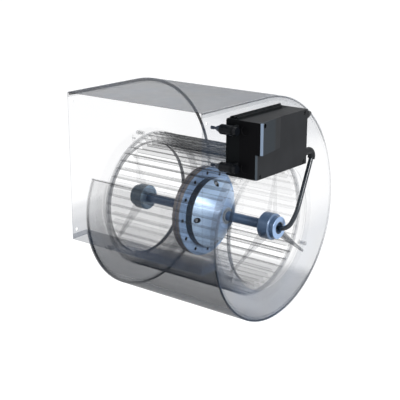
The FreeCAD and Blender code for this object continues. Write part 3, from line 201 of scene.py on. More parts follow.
# 0 up to one distance along a direction, 1 past another
alongFade, alongIn, alongOut = newGroup(
    "alongFade",
    [("Direction", "Vector", upward), ("Low", "Float", -0.2), ("High", "Float", 0.1)], ["Mask"])
alongPlace = addNode(alongFade, "TexCoord").outputs["Object"]
alongDot = addNode(alongFade, "VectorMath", {0: alongPlace, 1: alongIn["Direction"]},
                   operation="DOT_PRODUCT").outputs["Value"]
alongRange = addNode(alongFade, "MapRange", {"Value": alongDot, "From Min": alongIn["Low"],
                                             "From Max": alongIn["High"]},
                     interpolation_type="SMOOTHSTEP")
alongFade.links.new(alongRange.outputs[0], alongOut["Mask"])

# 1 where a face is turned along a direction
faceTurned, turnedIn, turnedOut = newGroup(
    "faceTurned",
    [("Direction", "Vector", alongShaft), ("Low", "Float", 0.5), ("High", "Float", 0.8)], ["Mask"])
turnedNormal = addNode(faceTurned, "TexCoord").outputs["Normal"]
turnedDot = addNode(faceTurned, "VectorMath", {0: turnedNormal, 1: turnedIn["Direction"]},
                    operation="DOT_PRODUCT").outputs["Value"]
turnedRange = addNode(faceTurned, "MapRange", {"Value": turnedDot, "From Min": turnedIn["Low"],
                                               "From Max": turnedIn["High"]})
faceTurned.links.new(turnedRange.outputs[0], turnedOut["Mask"])

# 1 between two distances from the shaft axis, with soft ends
radialBand, bandIn, bandOut = newGroup(
    "radialBand",
    [("Inner", "Float", 0.1), ("Outer", "Float", 0.12), ("Blur", "Float", 0.001)], ["Mask"])
bandSplit = splitPlace(radialBand)
bandRadius = flatLength(radialBand, bandSplit["Y"], bandSplit["Z"])
bandNear = addMath(radialBand, "MINIMUM",
                   addMath(radialBand, "SUBTRACT", bandRadius, bandIn["Inner"]),
                   addMath(radialBand, "SUBTRACT", bandIn["Outer"], bandRadius))
bandRange = addNode(radialBand, "MapRange", {"Value": bandNear, "From Min": 0.0,
                                             "From Max": bandIn["Blur"]})
radialBand.links.new(bandRange.outputs[0], bandOut["Mask"])

noiseSettings = {"low": 0.3, "high": 0.7, "grainDetail": 3.0, "marksDetail": 2.0}


# Spreads a noise node's usual values from a group's Low to its High
def spreadNoise(group, noise, groupIn, groupOut):
    spread = addNode(group, "MapRange", {
        "Value": noise.outputs["Fac"], "From Min": noiseSettings["low"],
        "From Max": noiseSettings["high"], "To Min": groupIn["Low"], "To Max": groupIn["High"]})
    group.links.new(spread.outputs[0], groupOut["Value"])


# Even fine grain, for bump and a little change of roughness or tone
fineGrain, grainIn, grainOut = newGroup(
    "fineGrain",
    [("Scale", "Float", 900.0), ("Low", "Float", 0.0), ("High", "Float", 1.0)], ["Value"])
grainPlace = addNode(fineGrain, "TexCoord").outputs["Object"]
grainNoise = addNode(fineGrain, "TexNoise", {"Vector": grainPlace, "Scale": grainIn["Scale"],
                                             "Detail": noiseSettings["grainDetail"]})
spreadNoise(fineGrain, grainNoise, grainIn, grainOut)

# Turning marks: rings about the shaft axis
turningMarks, marksIn, marksOut = newGroup(
    "turningMarks",
    [("Pitch", "Float", 0.0006), ("Low", "Float", 0.2), ("High", "Float", 0.3)], ["Value"])
marksSplit = splitPlace(turningMarks)
marksRadius = flatLength(turningMarks, marksSplit["Y"], marksSplit["Z"])
marksCount = addMath(turningMarks, "DIVIDE",
                     addMath(turningMarks, "ADD", marksRadius, marksSplit["X"]), marksIn["Pitch"])
marksNoise = addNode(turningMarks, "TexNoise", {"W": marksCount, "Scale": 1.0,
                                                "Detail": noiseSettings["marksDetail"]},
                     noise_dimensions="1D")
spreadNoise(turningMarks, marksNoise, marksIn, marksOut)

# Flat: 1 on faces that look along the shaft. Deep: 1 past a distance from mid width.
flatFaces, flatIn, flatOut = newGroup(
    "flatFaces", [("Turned", "Float", 0.9), ("Depth", "Float", 0.16)], ["Flat", "Deep"])
flatPlace = addNode(flatFaces, "TexCoord").outputs
for source, limit, result in (("Normal", "Turned", "Flat"), ("Object", "Depth", "Deep")):
    flatAway = addMath(flatFaces, "ABSOLUTE",
                       addNode(flatFaces, "SeparateXYZ", {0: flatPlace[source]}).outputs["X"])
    flatFaces.links.new(addMath(flatFaces, "GREATER_THAN", flatAway, flatIn[limit]),
                        flatOut[result])

# 1 in the well of a screw: two distances from its middle, and its radius
screwWell, wellIn, wellOut = newGroup(
    "screwWell",
    [("Across", "Float", 0.0), ("Up", "Float", 0.0), ("Radius", "Float", 0.004)], ["Mask"])
wellReach = flatLength(screwWell, wellIn["Across"], wellIn["Up"])
screwWell.links.new(addMath(screwWell, "LESS_THAN", wellReach, wellIn["Radius"]), wellOut["Mask"])
print("effect groups made")

greyCast = {"blue": 1.25, "green": 0.35}   # green follows this share of the way to blue


def grey(level, blue=greyCast["blue"]):
    return (level, level * (1.0 + greyCast["green"] * (blue - 1.0)), level * blue, 1.0)


def dress(mat, *names):
    for name in names:
        nodes[name].data.materials.clear()
        nodes[name].data.materials.append(mat)


def grainBetween(tree, scale, low=0.0, high=1.0):
    return useGroup(tree, fineGrain, {"Scale": scale, "Low": low, "High": high}, "Value")


def fadeAlong(tree, direction, low, high):
    return useGroup(tree, alongFade, {"Direction": direction, "Low": low, "High": high}, "Mask")


def bandBetween(tree, inner, outer, blur):
    return useGroup(tree, radialBand, {"Inner": inner, "Outer": outer, "Blur": blur}, "Mask")


def turnedTo(tree, direction, low, high):
    return useGroup(tree, faceTurned, {"Direction": direction, "Low": low, "High": high}, "Mask")


# Sets a value at each height and blends from stop to stop; fade gives the mask between two stops
def blendStops(tree, stops, fade=lambda tree, low, high: fadeAlong(tree, upward, low, high)):
    reached, value = stops[0]
    for nextStop, nextValue in stops[1:]:
        value = mixValue(tree, fade(tree, reached, nextStop), value, nextValue)
        reached = nextStop
    return value


# A sheet has two faces; only the one turned to the eye counts, so each sheet is seen once
def frontOnly(tree, alpha):
    facing = addNode(tree, "NewGeometry").outputs["Backfacing"]
    return addMath(tree, "MULTIPLY", addMath(tree, "SUBTRACT", 1.0, facing), alpha)


# See-through sheet of the housing and its rings
sheetLook = {
    "gloss": 0.06,
    "rough": (0.34, 0.37), "roughGrain": 60.0,
    "darker": (0.94, 3.0), "paler": (1.06, 1.6), "toneGrain": 12.0,   # share of the tone, blue cast
    "turned": 0.9,   # a face looks along the shaft when its normal does by this much
    "foldDepth": 0.1637, "plateDepth": 0.1649,   # from mid width to between the two faces of each
}


# A fold lies flat on its plate. Of the faces that look along the shaft, a fold shows only the one
# inside and a plate only the one outside, so no two see-through faces lie in one plane.
def foldAlpha(tree, alpha, share=1.0):
    flat = {"Turned": sheetLook["turned"], "Depth": sheetLook["foldDepth"]}
    inside = addMath(tree, "SUBTRACT", 1.0, useGroup(tree, flatFaces, flat, "Deep"))
    inside = addMath(tree, "MULTIPLY", addMath(tree, "MULTIPLY", inside, alpha), share)
    return mixValue(tree, useGroup(tree, flatFaces, flat, "Flat"), frontOnly(tree, alpha), inside)


def plateAlpha(tree, alpha, rim):
    flat = {"Turned": sheetLook["turned"], "Depth": sheetLook["plateDepth"]}
    outside = addMath(tree, "MULTIPLY", useGroup(tree, flatFaces, flat, "Deep"), alpha)
    return mixValue(tree, useGroup(tree, flatFaces, flat, "Flat"), frontOnly(tree, rim), outside)


# alpha is a function that makes the sheet's alpha in the material
def sheetMaterial(name, tone, alpha):
    mat, tree, shader = newMaterial(name)
    darker, paler = [grey(share * tone, blue)
                     for share, blue in (sheetLook["darker"], sheetLook["paler"])]
    tree.links.new(mixColour(tree, grainBetween(tree, sheetLook["toneGrain"]), darker, paler),
                   shader.inputs["Base Color"])
    tree.links.new(grainBetween(tree, sheetLook["roughGrain"], *sheetLook["rough"]),
                   shader.inputs["Roughness"])
    tree.links.new(alpha(tree), shader.inputs["Alpha"])
    shader.inputs["Specular IOR Level"].default_value = sheetLook["gloss"]
    return mat


# Scroll sheet: painted shade, clear at mid height, grey on top and towards the bottom of its front
wrapLook = {
    "tone": 0.028,
    # stops: height and how much the sheet hides there, as painted shade
    "front": [(-0.130, 0.74), (-0.100, 0.66), (-0.075, 0.59), (-0.047, 0.49), (-0.020, 0.36),
              (0.013, 0.25), (0.100, 0.22)],
    "rear": [(-0.196, 0.54), (-0.155, 0.46), (-0.132, 0.04), (0.130, 0.03), (0.165, 0.13),
             (0.235, 0.25), (0.256, 0.70)],
    # the front stops hold ahead of the shaft and, on the way down, from above it
    "frontFrom": (-0.040, 0.040), "frontBelow": (-0.090, -0.080),
    "foldShare": 0.30,
}


def wrapAlpha(tree):
    front = addMath(tree, "MULTIPLY", fadeAlong(tree, toOutlet, *wrapLook["frontFrom"]),
                    fadeAlong(tree, downward, *wrapLook["frontBelow"]))
    alpha = mixValue(tree, front, blendStops(tree, wrapLook["rear"]),
                     blendStops(tree, wrapLook["front"]))
    return foldAlpha(tree, alpha, wrapLook["foldShare"])


dress(sheetMaterial("clearWrap", wrapLook["tone"], wrapAlpha), "scroll_wrap")

# Side plates and outlet floor, with painted shade that changes with height
plateLook = {
    # stops: height and how much the sheet hides there, as painted shade; the rim is the cut edge
    "left": {"tone": 0.06, "rim": 0.35,
             "stops": [(-0.110, 0.52), (-0.050, 0.50), (-0.012, 0.40), (0.018, 0.27),
                       (0.042, 0.05), (0.255, 0.06)]},
    "right": {"tone": 0.09, "rim": 0.35,
              "stops": [(-0.190, 0.32), (-0.060, 0.27), (0.030, 0.05), (0.110, 0.03),
                        (0.170, 0.13), (0.250, 0.22)]},
    "leftRear": {"from": (0.02, 0.16), "more": 0.05},   # the left one hides more behind the shaft
}


def leftAlpha(tree):
    rear = fadeAlong(tree, toRear, *plateLook["leftRear"]["from"])
    rear = addMath(tree, "MULTIPLY", rear, plateLook["leftRear"]["more"])
    return addMath(tree, "ADD", blendStops(tree, plateLook["left"]["stops"]), rear)


dress(sheetMaterial("clearPlateLeft", plateLook["left"]["tone"],
                    lambda tree: plateAlpha(tree, leftAlpha(tree), plateLook["left"]["rim"])),
      "side_plate_left")
dress(sheetMaterial("clearPlateRight", plateLook["right"]["tone"],
                    lambda tree: plateAlpha(tree, blendStops(tree, plateLook["right"]["stops"]),
                                            plateLook["right"]["rim"])),
      "side_plate_right")
dress(sheetMaterial("clearFloor", plateLook["left"]["tone"],
                    lambda tree: frontOnly(tree, leftAlpha(tree))), "outlet_floor")

# Inlet rings: a dark lip round the throat, a roll behind it, and a flange that hardly shows; the
# roll's stops by height and the lip's fade are painted shade
ringLook = {
    "tone": 0.03,
    # bands: inner radius, outer radius, blur
    "lipBand": (0.05, 0.1214, 0.0004), "flangeBand": (0.1300, 0.2, 0.002), "flange": 0.05,
    "roll": {"left": [(-0.130, 0.44), (-0.020, 0.42), (0.080, 0.10)],
             "right": [(-0.130, 0.16), (-0.020, 0.14), (0.080, 0.06)]},
    # along a direction, from one distance to another, the lip goes from fainter to darker, as
    # painted shade
    "lip": {"left": ((0.0, 0.8, -0.6), -0.070, 0.010, 0.62, 0.85),
            "right": ((0.0, -1.0, -0.15), 0.070, 0.105, 0.10, 0.62)},
}


def ringAlpha(tree, side):
    direction, low, high, faint, dark = ringLook["lip"][side]
    lipTone = mixValue(tree, fadeAlong(tree, direction, low, high), faint, dark)
    alpha = mixValue(tree, bandBetween(tree, *ringLook["flangeBand"]),
                     blendStops(tree, ringLook["roll"][side]), ringLook["flange"])
    lip = bandBetween(tree, *ringLook["lipBand"])
    return foldAlpha(tree, mixValue(tree, lip, alpha, lipTone))


for side in ("left", "right"):
    dress(sheetMaterial("clearRing_" + side, ringLook["tone"], lambda tree: ringAlpha(tree, side)),
          "inlet_ring_" + side)
print("housing dressed")

# Rolled seams that join the scroll sheet to the side plates
seamSettings = {
    "face": 0.1655, "outlet": -0.2146, "topLine": 0.2579,
    # centre y, centre z, radius, first and last angle, from the top round the rear and the bottom
    # to the tongue
    "arcs": [(-0.0163, 0.0134, 0.2445, 90.0, 0.0), (0.0163, 0.0134, 0.2119, 0.0, -90.0),
             (0.0163, -0.0051, 0.1934, -90.0, -180.0), (-0.0137, -0.0051, 0.1634, -180.0, -208.4)],
    # share of the full radius at the ends of these arcs
    "shares": {"left": (1.0, 1.0, 0.85, 0.66, 0.66), "right": (0.70, 0.70, 0.85, 1.0, 1.0)},
    "radii": {"left": 0.0033, "right": 0.0023}, "sides": 10, "step": 3.0,   # step in degrees
    # stops: height and how much of the bead shows, on the front and the rear half of each side, as
    # painted shade
    "left": {"front": [(-0.060, 0.92), (0.020, 0.30), (0.070, 0.30), (0.190, 0.80)],
             "rear": [(-0.170, 0.85), (-0.110, 0.35), (0.030, 0.42), (0.110, 0.95)]},
    "right": {"front": [(-0.060, 0.97), (0.020, 0.40), (0.070, 0.40), (0.190, 0.65)],
              "rear": [(-0.150, 0.75), (-0.050, 0.20), (0.100, 0.20), (0.180, 0.55)]},
    "rearFrom": (-0.01, 0.07),
}

edgeLook = {"tone": 0.010, "paler": 1.4, "grain": 120.0, "rough": 0.4, "gloss": 0.2}


def seamPath(inset, shares):
    path = [(seamSettings["outlet"] + inset, seamSettings["topLine"] - inset, 0.0, 1.0, shares[0])]
    for arc, (centreY, centreZ, radius, first, last) in enumerate(seamSettings["arcs"]):
        count = round(abs(last - first) / seamSettings["step"])
        for i in range(count + 1):
            turn = math.radians(first + (last - first) * i / count)
            outY, outZ = math.cos(turn), math.sin(turn)
            share = shares[arc] + (shares[arc + 1] - shares[arc]) * i / count
            place = (centreY + (radius - inset) * outY, centreZ + (radius - inset) * outZ,
                     outY, outZ, share)
            if math.dist(place[:2], path[-1][:2]) > inset:
                path.append(place)
    return path


# Faces round a stack of equal rings of points, with a cap at each end
def ringFaces(rings, sides):
    faces = []
    for ring in range(rings - 1):
        for i in range(sides):
            near, far = ring * sides + i, ring * sides + (i + 1) % sides
            faces.append((near, far, far + sides, near + sides))
    faces.append(tuple(range(sides))[::-1])
    faces.append(tuple(range((rings - 1) * sides, rings * sides)))
    return faces


# A round bead along a path; each stop gives a place and two directions across the bead there
def addBead(name, stops, radius, sides):
    points = []
    for place, across, outward in stops:
        for i in range(sides):
            turn = 2.0 * math.pi * i / sides
            points.append([place[axis] + radius * (math.sin(turn) * across[axis]
                                                   + math.cos(turn) * outward[axis])
                           for axis in range(3)])
    return addPiece(name, points, ringFaces(len(stops), sides), smooth=True)


# alpha is a function that makes the bead's alpha in the material
def edgeMaterial(name, alpha):
    mat, tree, shader = newMaterial(name)
    tree.links.new(frontOnly(tree, alpha(tree)), shader.inputs["Alpha"])
    tree.links.new(mixColour(tree, grainBetween(tree, edgeLook["grain"]), grey(edgeLook["tone"]),
                             grey(edgeLook["paler"] * edgeLook["tone"])),
                   shader.inputs["Base Color"])
    shader.inputs["Roughness"].default_value = edgeLook["rough"]
    shader.inputs["Specular IOR Level"].default_value = edgeLook["gloss"]
    return mat


def seamAlpha(tree, look):
    return mixValue(tree, fadeAlong(tree, toRear, *seamSettings["rearFrom"]),
                    blendStops(tree, look["front"]), blendStops(tree, look["rear"]))


for side, sign in (("left", -1.0), ("right", 1.0)):
    radius = seamSettings["radii"][side]
    x = sign * (seamSettings["face"] - radius)
    stops = [((x, y, z), (share, 0.0, 0.0), (0.0, share * outY, share * outZ))
             for y, z, outY, outZ, share in seamPath(radius, seamSettings["shares"][side])]
    seam = addBead("seam_" + side, stops, radius, seamSettings["sides"])
    seam.data.materials.append(edgeMaterial("seam_" + side,
                                            lambda tree: seamAlpha(tree, seamSettings[side])))
    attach(seam, "housing")

# Rolled edge of the tongue, inside the outlet; it is darker on the left, as painted shade
hemSettings = {
    "place": (-0.1570, 0.0716), "half": 0.1625, "stops": (-1.0, -0.5, 0.0, 0.5, 1.0),
    "radius": 0.0011, "sides": 8,
    "fade": (-0.150, 0.020), "alphas": (0.70, 0.10),
}

hemY, hemZ = hemSettings["place"]
hem = addBead("tongue_hem", [((share * hemSettings["half"], hemY, hemZ), toRear, upward)
                             for share in hemSettings["stops"]],
              hemSettings["radius"], hemSettings["sides"])
hem.data.materials.append(edgeMaterial("hemEdge", lambda tree: mixValue(
    tree, fadeAlong(tree, alongShaft, *hemSettings["fade"]), *hemSettings["alphas"])))
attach(hem, "housing")
print("seams and hem made")

# Solid finishes. Metal has turning marks and a soft change of tone; moulded parts have fine grain.
metalLook = {
    "pitch": 0.0006, "gloss": 0.40, "darker": 0.86, "toneGrain": 35.0,
    # finish: colour, metallic, roughness, the pieces that have it, and what else it changes
    "finishes": {
        "capSteel": ((0.20, 0.225, 0.255, 1.0), 0.2, (0.28, 0.36),
                     ("hub_cap_left", "hub_cap_right"), {}),
        "darkSteel": ((0.055, 0.065, 0.080, 1.0), 0.2, (0.3, 0.4),
                      ("rotor_can", "stator_core"), {}),
        "zincPlate": ((0.45, 0.47, 0.50, 1.0), 0.6, (0.22, 0.35),
                      ("flange_nuts", "shield_screws", "bearing_left", "bearing_right"), {}),
        "blackScrew": ((0.006, 0.007, 0.009, 1.0), 0.1, (0.3, 0.4),
                       ("flange_bolts", "cover_screws"), {"gloss": 0.15}),
        "enamelledCopper": ((0.60, 0.26, 0.12, 1.0), 0.9, (0.25, 0.4), ("stator_coils",), {}),
    },
}

mouldedLook = {
    "grain": 1400.0, "gloss": 0.15, "paler": 1.25, "toneGrain": 22.0,
    "bump": 0.00004, "bumpStrength": 0.5,
    # finish: colour, roughness, the pieces that have it, and what else it changes
    "finishes": {
        "blackRubber": ((0.010, 0.011, 0.013, 1.0), (0.35, 0.5), ("gland_blank", "cable_boot"), {}),
        "glossyRubber": ((0.005, 0.006, 0.008, 1.0), (0.24, 0.32),
                         ("buffer_front_upper", "buffer_front_lower", "buffer_rear"), {}),
        "cableSheath": ((0.010, 0.016, 0.024, 1.0), (0.24, 0.30), ("motor_cable",),
                        {"grain": 500.0, "gloss": 0.50}),
        "blackBase": ((0.009, 0.010, 0.011, 1.0), (0.40, 0.50), ("controller_base",),
                      {"gloss": 0.03}),
        "boardLaminate": ((0.03, 0.14, 0.06, 1.0), (0.4, 0.5), ("circuit_board",), {}),
        "ferrite": ((0.05, 0.05, 0.055, 1.0), (0.5, 0.6), ("magnets",), {}),
    },
}


def scaled(colour, share):
    return tuple(share * part for part in colour[:3]) + (1.0,)


def metalMaterial(name, colour, metallic, rough, gloss=metalLook["gloss"],
                  pitch=metalLook["pitch"]):
    mat, tree, shader = newMaterial(name)
    tree.links.new(useGroup(tree, turningMarks, {"Pitch": pitch, "Low": rough[0], "High": rough[1]},
                            "Value"), shader.inputs["Roughness"])
    tone = mixColour(tree, grainBetween(tree, metalLook["toneGrain"]),
                     scaled(colour, metalLook["darker"]), colour)
    tree.links.new(tone, shader.inputs["Base Color"])
    shader.inputs["Metallic"].default_value = metallic
    shader.inputs["Specular IOR Level"].default_value = gloss
    return mat, tree, shader, tone


def mouldedMaterial(name, colour, rough, grain=mouldedLook["grain"], gloss=mouldedLook["gloss"]):
    mat, tree, shader = newMaterial(name)
    texture = grainBetween(tree, grain, *rough)
    tone = mixColour(tree, grainBetween(tree, mouldedLook["toneGrain"]), colour,
                     scaled(colour, mouldedLook["paler"]))
    raised = addNode(tree, "Bump", {"Strength": mouldedLook["bumpStrength"],
                                    "Distance": mouldedLook["bump"], "Height": texture})
    tree.links.new(tone, shader.inputs["Base Color"])
    tree.links.new(texture, shader.inputs["Roughness"])
    tree.links.new(raised.outputs["Normal"], shader.inputs["Normal"])
    shader.inputs["Specular IOR Level"].default_value = gloss
    return mat, tree, shader, tone


for finish, (colour, metallic, rough, pieces, changes) in metalLook["finishes"].items():
    dress(metalMaterial(finish, colour, metallic, rough, **changes)[0], *pieces)
for finish, (colour, rough, pieces, changes) in mouldedLook["finishes"].items():
    dress(mouldedMaterial(finish, colour, rough, **changes)[0], *pieces)

# Shaft line and motor flanges: blue metal, paler on the faces that look along the shaft: painted
# light on faces turned to the main lamp, painted shade on the right collar's faces; the flanges'
# grey-brown turned sides are also the steel's own colour
blueLook = {
    "metallic": 0.15, "rough": (0.24, 0.32), "turned": (0.35, 0.55),
    "bore": (0.012, 0.022, 0.034, 1.0), "boreBand": (-0.01, 0.0125, 0.0005),
    # finish: colour of its turned sides, colour of its faces with painted light and shade, whether
    # it has a bore painted dark as shade, pieces
    "finishes": {
        "flangeBlue": ((0.46, 0.43, 0.44, 1.0), (0.40, 0.58, 0.88, 1.0), False,
                       ("motor_flange_left", "motor_flange_right")),
        "collarLeftBlue": ((0.11, 0.155, 0.20, 1.0), (0.60, 0.80, 1.0, 1.0), False,
                           ("collar_left", "bush_left", "end_nut")),
        "collarRightBlue": ((0.10, 0.165, 0.28, 1.0), (0.16, 0.23, 0.35, 1.0), False,
                            ("collar_right", "bush_right", "shaft")),
        "nutBlue": ((0.10, 0.165, 0.28, 1.0), (0.33, 0.48, 0.74, 1.0), True, ("cable_nut",)),
    },
}

for finish, (sideColour, faceLightShadeColour, hasBoreShade, pieces) in blueLook["finishes"].items():
    blueMat, blueTree, blueShader, blueTone = metalMaterial(
        finish, faceLightShadeColour, blueLook["metallic"], blueLook["rough"])
    # painted shade: the cable nut's bore is painted dark
    if hasBoreShade:
        blueTone = mixColour(blueTree, bandBetween(blueTree, *blueLook["boreBand"]), blueTone,
                             blueLook["bore"])
    blueTone = mixColour(blueTree, turnedTo(blueTree, alongShaft, *blueLook["turned"]),
                         sideColour, blueTone)
    blueTree.links.new(blueTone, blueShader.inputs["Base Color"])
    dress(blueMat, *pieces)

# End shields of the motor: paler towards the rim, as painted light, with fine turning marks and
# four screw wells painted dark as shade
shieldLook = {
    "inner": (0.20, 0.29, 0.45, 1.0), "outer": (0.55, 0.74, 1.0, 1.0),
    "litBand": (0.020, 0.2, 0.040),   # where it starts, past the rim, and over which distance
    "metallic": 0.15, "rough": (0.30, 0.38), "pitch": 0.0012,
    "marksPitch": 0.0016, "marks": (0.0, 0.12),
    "wellCircle": 0.0625, "wellRadius": 0.0058, "well": (0.012, 0.016, 0.022, 1.0),
}

shieldMat, shieldTree, shieldShader = metalMaterial(
    "shieldBlue", shieldLook["outer"], shieldLook["metallic"], shieldLook["rough"],
    pitch=shieldLook["pitch"])[:3]
# painted light: the shield gets paler towards the rim
shieldLit = bandBetween(shieldTree, *shieldLook["litBand"])
shieldMarks = useGroup(shieldTree, turningMarks, {
    "Pitch": shieldLook["marksPitch"], "Low": shieldLook["marks"][0],
    "High": shieldLook["marks"][1]}, "Value")
shieldTone = mixColour(shieldTree, addMath(shieldTree, "SUBTRACT", shieldLit, shieldMarks),
                       shieldLook["inner"], shieldLook["outer"])
# painted shade in the screw wells: they lie above, below, before and behind the shaft, so one
# quarter stands for all four
shieldSplit = splitPlace(shieldTree)
shieldY, shieldZ = [addMath(shieldTree, "ABSOLUTE", shieldSplit[axis]) for axis in "YZ"]
shieldOff = addMath(shieldTree, "SUBTRACT", addMath(shieldTree, "MAXIMUM", shieldY, shieldZ),
                    shieldLook["wellCircle"])
shieldWellShade = useGroup(shieldTree, screwWell, {
    "Across": shieldOff, "Up": addMath(shieldTree, "MINIMUM", shieldY, shieldZ),
    "Radius": shieldLook["wellRadius"]}, "Mask")
shieldTree.links.new(mixColour(shieldTree, shieldWellShade, shieldTone, shieldLook["well"]),
                     shieldShader.inputs["Base Color"])
dress(shieldMat, "end_shield_left", "end_shield_right")

# Controller cover: black; its bevelled front edges catch the light as a painted highlight, its
# faces turned to the outlet get painted shade, and its screw wells near its corners are painted
# dark as shade
coverLook = {
    "body": (0.024, 0.025, 0.027, 1.0), "front": (0.007, 0.007, 0.008, 1.0),
    "brow": (0.030, 0.036, 0.042, 1.0), "browFrom": (0.2360, 0.2375),
    "bevel": (0.07, 0.085, 0.10, 1.0), "browBevel": (0.22, 0.28, 0.37, 1.0),
    "bevelFaces": ((0.7071, -0.7071, 0.0), 0.96, 0.99), "shadedFrontFaces": (toOutlet, 0.85, 0.95),
    "rough": (0.40, 0.50), "gloss": 0.03,
    "well": (0.003, 0.003, 0.004, 1.0), "wellRadius": 0.0040,
    # middle of the cover and half the way between its screws, along y and z
    "wellsY": (-0.0670, 0.0705), "wellsZ": (0.1865, 0.0465),
}

coverMat, coverTree, coverShader, coverTone = mouldedMaterial(
    "blackCase", coverLook["body"], coverLook["rough"], gloss=coverLook["gloss"])
coverBrow = fadeAlong(coverTree, alongShaft, *coverLook["browFrom"])
coverTone = mixColour(coverTree, coverBrow, coverTone, coverLook["brow"])
# painted shade: the faces turned to the outlet get the darker front colour
coverTone = mixColour(coverTree, turnedTo(coverTree, *coverLook["shadedFrontFaces"]), coverTone,
                      coverLook["front"])
# painted highlight on the bevelled front edges, paler on the brow
coverBevelHighlight = mixColour(coverTree, coverBrow, coverLook["bevel"], coverLook["browBevel"])
coverTone = mixColour(coverTree, turnedTo(coverTree, *coverLook["bevelFaces"]), coverTone,
                      coverBevelHighlight)
# painted shade: the screw wells near the corners are painted dark
coverSplit = splitPlace(coverTree)
coverOff = []
for axis, (centre, half) in (("Y", coverLook["wellsY"]), ("Z", coverLook["wellsZ"])):
    away = addMath(coverTree, "ABSOLUTE",
                   addMath(coverTree, "SUBTRACT", coverSplit[axis], centre))
    coverOff.append(addMath(coverTree, "SUBTRACT", away, half))
coverWellShade = useGroup(coverTree, screwWell, {"Across": coverOff[0], "Up": coverOff[1],
                                            "Radius": coverLook["wellRadius"]}, "Mask")
coverTree.links.new(mixColour(coverTree, coverWellShade, coverTone, coverLook["well"]),
                    coverShader.inputs["Base Color"])
dress(coverMat, "controller_cover")

# Pad between the controller and the side plate, cut away at the foot of the upper arm
padSettings = {
    "from": 0.1657, "to": 0.1706, "bevel": 0.0010,
    # places along y and z
    "outline": [(-0.1460, 0.1345), (-0.0240, 0.1345), (-0.0220, 0.1365), (-0.0220, 0.1470),
                (-0.0200, 0.1490), (0.0120, 0.1490), (0.0140, 0.1510), (0.0140, 0.2365),
                (0.0120, 0.2385), (-0.1460, 0.2385), (-0.1480, 0.2365), (-0.1480, 0.1365)],
    "colour": (0.008, 0.009, 0.010, 1.0), "rough": (0.45, 0.6), "gloss": 0.05,
}

padOutline, padBevel = padSettings["outline"], padSettings["bevel"]
padLayers = [(padSettings["from"], padBevel), (padSettings["from"] + padBevel, 0.0),
             (padSettings["to"] - padBevel, 0.0), (padSettings["to"], padBevel)]
padCentre = [sum(place[axis] for place in padOutline) / len(padOutline) for axis in (0, 1)]
padPoints = []
for x, inset in padLayers:
    for place in padOutline:
        y, z = [value + (inset if centre > value else -inset)
                for value, centre in zip(place, padCentre)]
        padPoints.append((x, y, z))
pad = addPiece("case_pad", padPoints, ringFaces(len(padLayers), len(padOutline)))
pad.data.materials.append(mouldedMaterial("padRubber", padSettings["colour"], padSettings["rough"],
                                          gloss=padSettings["gloss"])[0])
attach(pad, "housing")

# Small fixings and support arms are as see-through as the sheet; the arm by the cable shows more
faintLook = {
    "grain": 80.0, "lowShare": 0.85,   # how far the grain lowers the alpha
    # arm: how much it hides
    "arms": {"left_1": 0.12, "left_2": 0.30, "left_3": 0.30,
             "right_1": 0.14, "right_2": 0.35, "right_3": 0.75},
    "armTone": 0.10, "armMetallic": 0.2, "armRough": (0.35, 0.5),
    "zinc": (0.30, 0.32, 0.35, 1.0), "zincMetallic": 0.5, "zincRough": (0.3, 0.4),
    "zincAlpha": 0.40,
    "rubber": (0.16, 0.17, 0.18, 1.0), "rubberRough": (0.4, 0.5), "rubberAlpha": 0.30,
}


def dressFaint(made, alpha, *names):
    mat, tree, shader = made[:3]
    shade = grainBetween(tree, faintLook["grain"], faintLook["lowShare"] * alpha, alpha)
    tree.links.new(frontOnly(tree, shade), shader.inputs["Alpha"])
    dress(mat, *names)


dressFaint(metalMaterial("clearZinc", faintLook["zinc"], faintLook["zincMetallic"],
                         faintLook["zincRough"]),
           faintLook["zincAlpha"], "arm_rivets", "ring_screws")
dressFaint(mouldedMaterial("clearRubber", faintLook["rubber"], faintLook["rubberRough"]),
           faintLook["rubberAlpha"], "rubber_nuts")
for armName, armAlpha in faintLook["arms"].items():
    dressFaint(metalMaterial("arm_" + armName, grey(faintLook["armTone"]),
                             faintLook["armMetallic"], faintLook["armRough"]),
               armAlpha, "support_arm_" + armName)
print("motor, controller and arms dressed")

# Wheel: thin galvanised sheet, shown see-through, its blades with darker edges
wheelLook = {
    "metallic": 0.1, "rough": 0.35,
    "face": 0.05, "edge": 0.035, "faceAlpha": 0.33, "edgeAlpha": 0.78,
    "bladeInner": 0.1185, "bladeOuter": 0.1445,
    "innerEdge": 0.0010, "outerEdge": 0.0026, "edgeBlur": 0.0012,
    # stops: place in the room along a direction, and the share of that alpha there
    "frontAlong": (0.0, 0.357, 0.934),
    "frontShares": [(-0.142, 0.95), (-0.128, 0.42), (-0.090, 0.40), (0.045, 0.58),
                    (0.085, 0.85), (0.120, 1.05)],
    "rearShares": [(-0.090, 1.00), (-0.040, 0.20)], "rearFrom": (0.060, 0.105),
    "ringTones": (0.20, 0.26), "ringToneGrain": 40.0,
    "ringAlpha": 0.32, "discAlpha": 0.05, "alphaGrain": 30.0, "alphaLow": 0.8,
}

bladeMat, bladeTree, bladeShader = newMaterial("bladeSheet")
bladeInside = bandBetween(bladeTree, wheelLook["bladeInner"] + wheelLook["innerEdge"],
                          wheelLook["bladeOuter"] - wheelLook["outerEdge"], wheelLook["edgeBlur"])
bladeTree.links.new(mixColour(bladeTree, bladeInside, grey(wheelLook["edge"]),
                              grey(wheelLook["face"])), bladeShader.inputs["Base Color"])
# places in the room, so the light stays where it is when the wheel turns
bladePlace = addNode(bladeTree, "NewGeometry").outputs["Position"]


def bladeFade(direction, low, high):
    along = addNode(bladeTree, "VectorMath", {0: bladePlace, 1: direction},
                    operation="DOT_PRODUCT").outputs["Value"]
    return addNode(bladeTree, "MapRange", {"Value": along, "From Min": low, "From Max": high},
                   interpolation_type="SMOOTHSTEP").outputs[0]


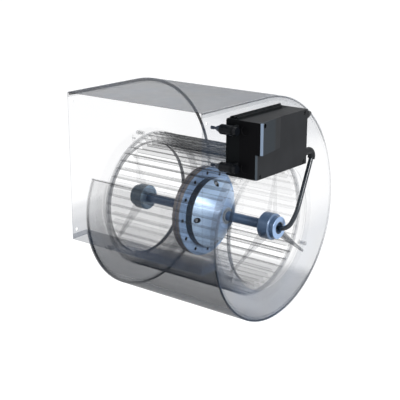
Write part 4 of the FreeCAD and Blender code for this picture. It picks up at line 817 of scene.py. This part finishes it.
bladeFront = blendStops(bladeTree, wheelLook["frontShares"],
                        lambda tree, low, high: bladeFade(wheelLook["frontAlong"], low, high))
bladeRear = blendStops(bladeTree, wheelLook["rearShares"],
                       lambda tree, low, high: bladeFade(upward, low, high))
bladeShare = mixValue(bladeTree, bladeFade(toRear, *wheelLook["rearFrom"]), bladeFront, bladeRear)
bladeAlpha = mixValue(bladeTree, bladeInside, wheelLook["edgeAlpha"], wheelLook["faceAlpha"])
bladeAlpha = addMath(bladeTree, "MULTIPLY", bladeAlpha, bladeShare)
bladeTree.links.new(frontOnly(bladeTree, bladeAlpha), bladeShader.inputs["Alpha"])
bladeShader.inputs["Metallic"].default_value = wheelLook["metallic"]
bladeShader.inputs["Roughness"].default_value = wheelLook["rough"]
dress(bladeMat, "blades")

for rimName, rimAlpha, rimPieces in (
        ("wheelRing", wheelLook["ringAlpha"], ("end_ring_left", "end_ring_right")),
        ("wheelDisc", wheelLook["discAlpha"], ("centre_disc",))):
    rimMat, rimTree, rimShader = newMaterial(rimName)
    rimTree.links.new(mixColour(rimTree, grainBetween(rimTree, wheelLook["ringToneGrain"]),
                                *[grey(tone) for tone in wheelLook["ringTones"]]),
                      rimShader.inputs["Base Color"])
    rimShade = grainBetween(rimTree, wheelLook["alphaGrain"], wheelLook["alphaLow"] * rimAlpha,
                            rimAlpha)
    rimTree.links.new(frontOnly(rimTree, rimShade), rimShader.inputs["Alpha"])
    rimShader.inputs["Metallic"].default_value = wheelLook["metallic"]
    rimShader.inputs["Roughness"].default_value = wheelLook["rough"]
    dress(rimMat, *rimPieces)
print("wheel dressed")

# Round surfaces shade smoothly; folds and edges stay crisp
viewSettings = {"sharpAngle": 24.0, "sheetsInLine": 64}   # sheets that one ray may pass

for item in nodes.values():
    item.data.set_sharp_from_angle(angle=math.radians(viewSettings["sharpAngle"]))
    for poly in item.data.polygons:
        poly.use_smooth = True

bpy.context.scene.cycles.transparent_max_bounces = viewSettings["sheetsInLine"]
bpy.context.scene.view_settings.view_transform = "Standard"
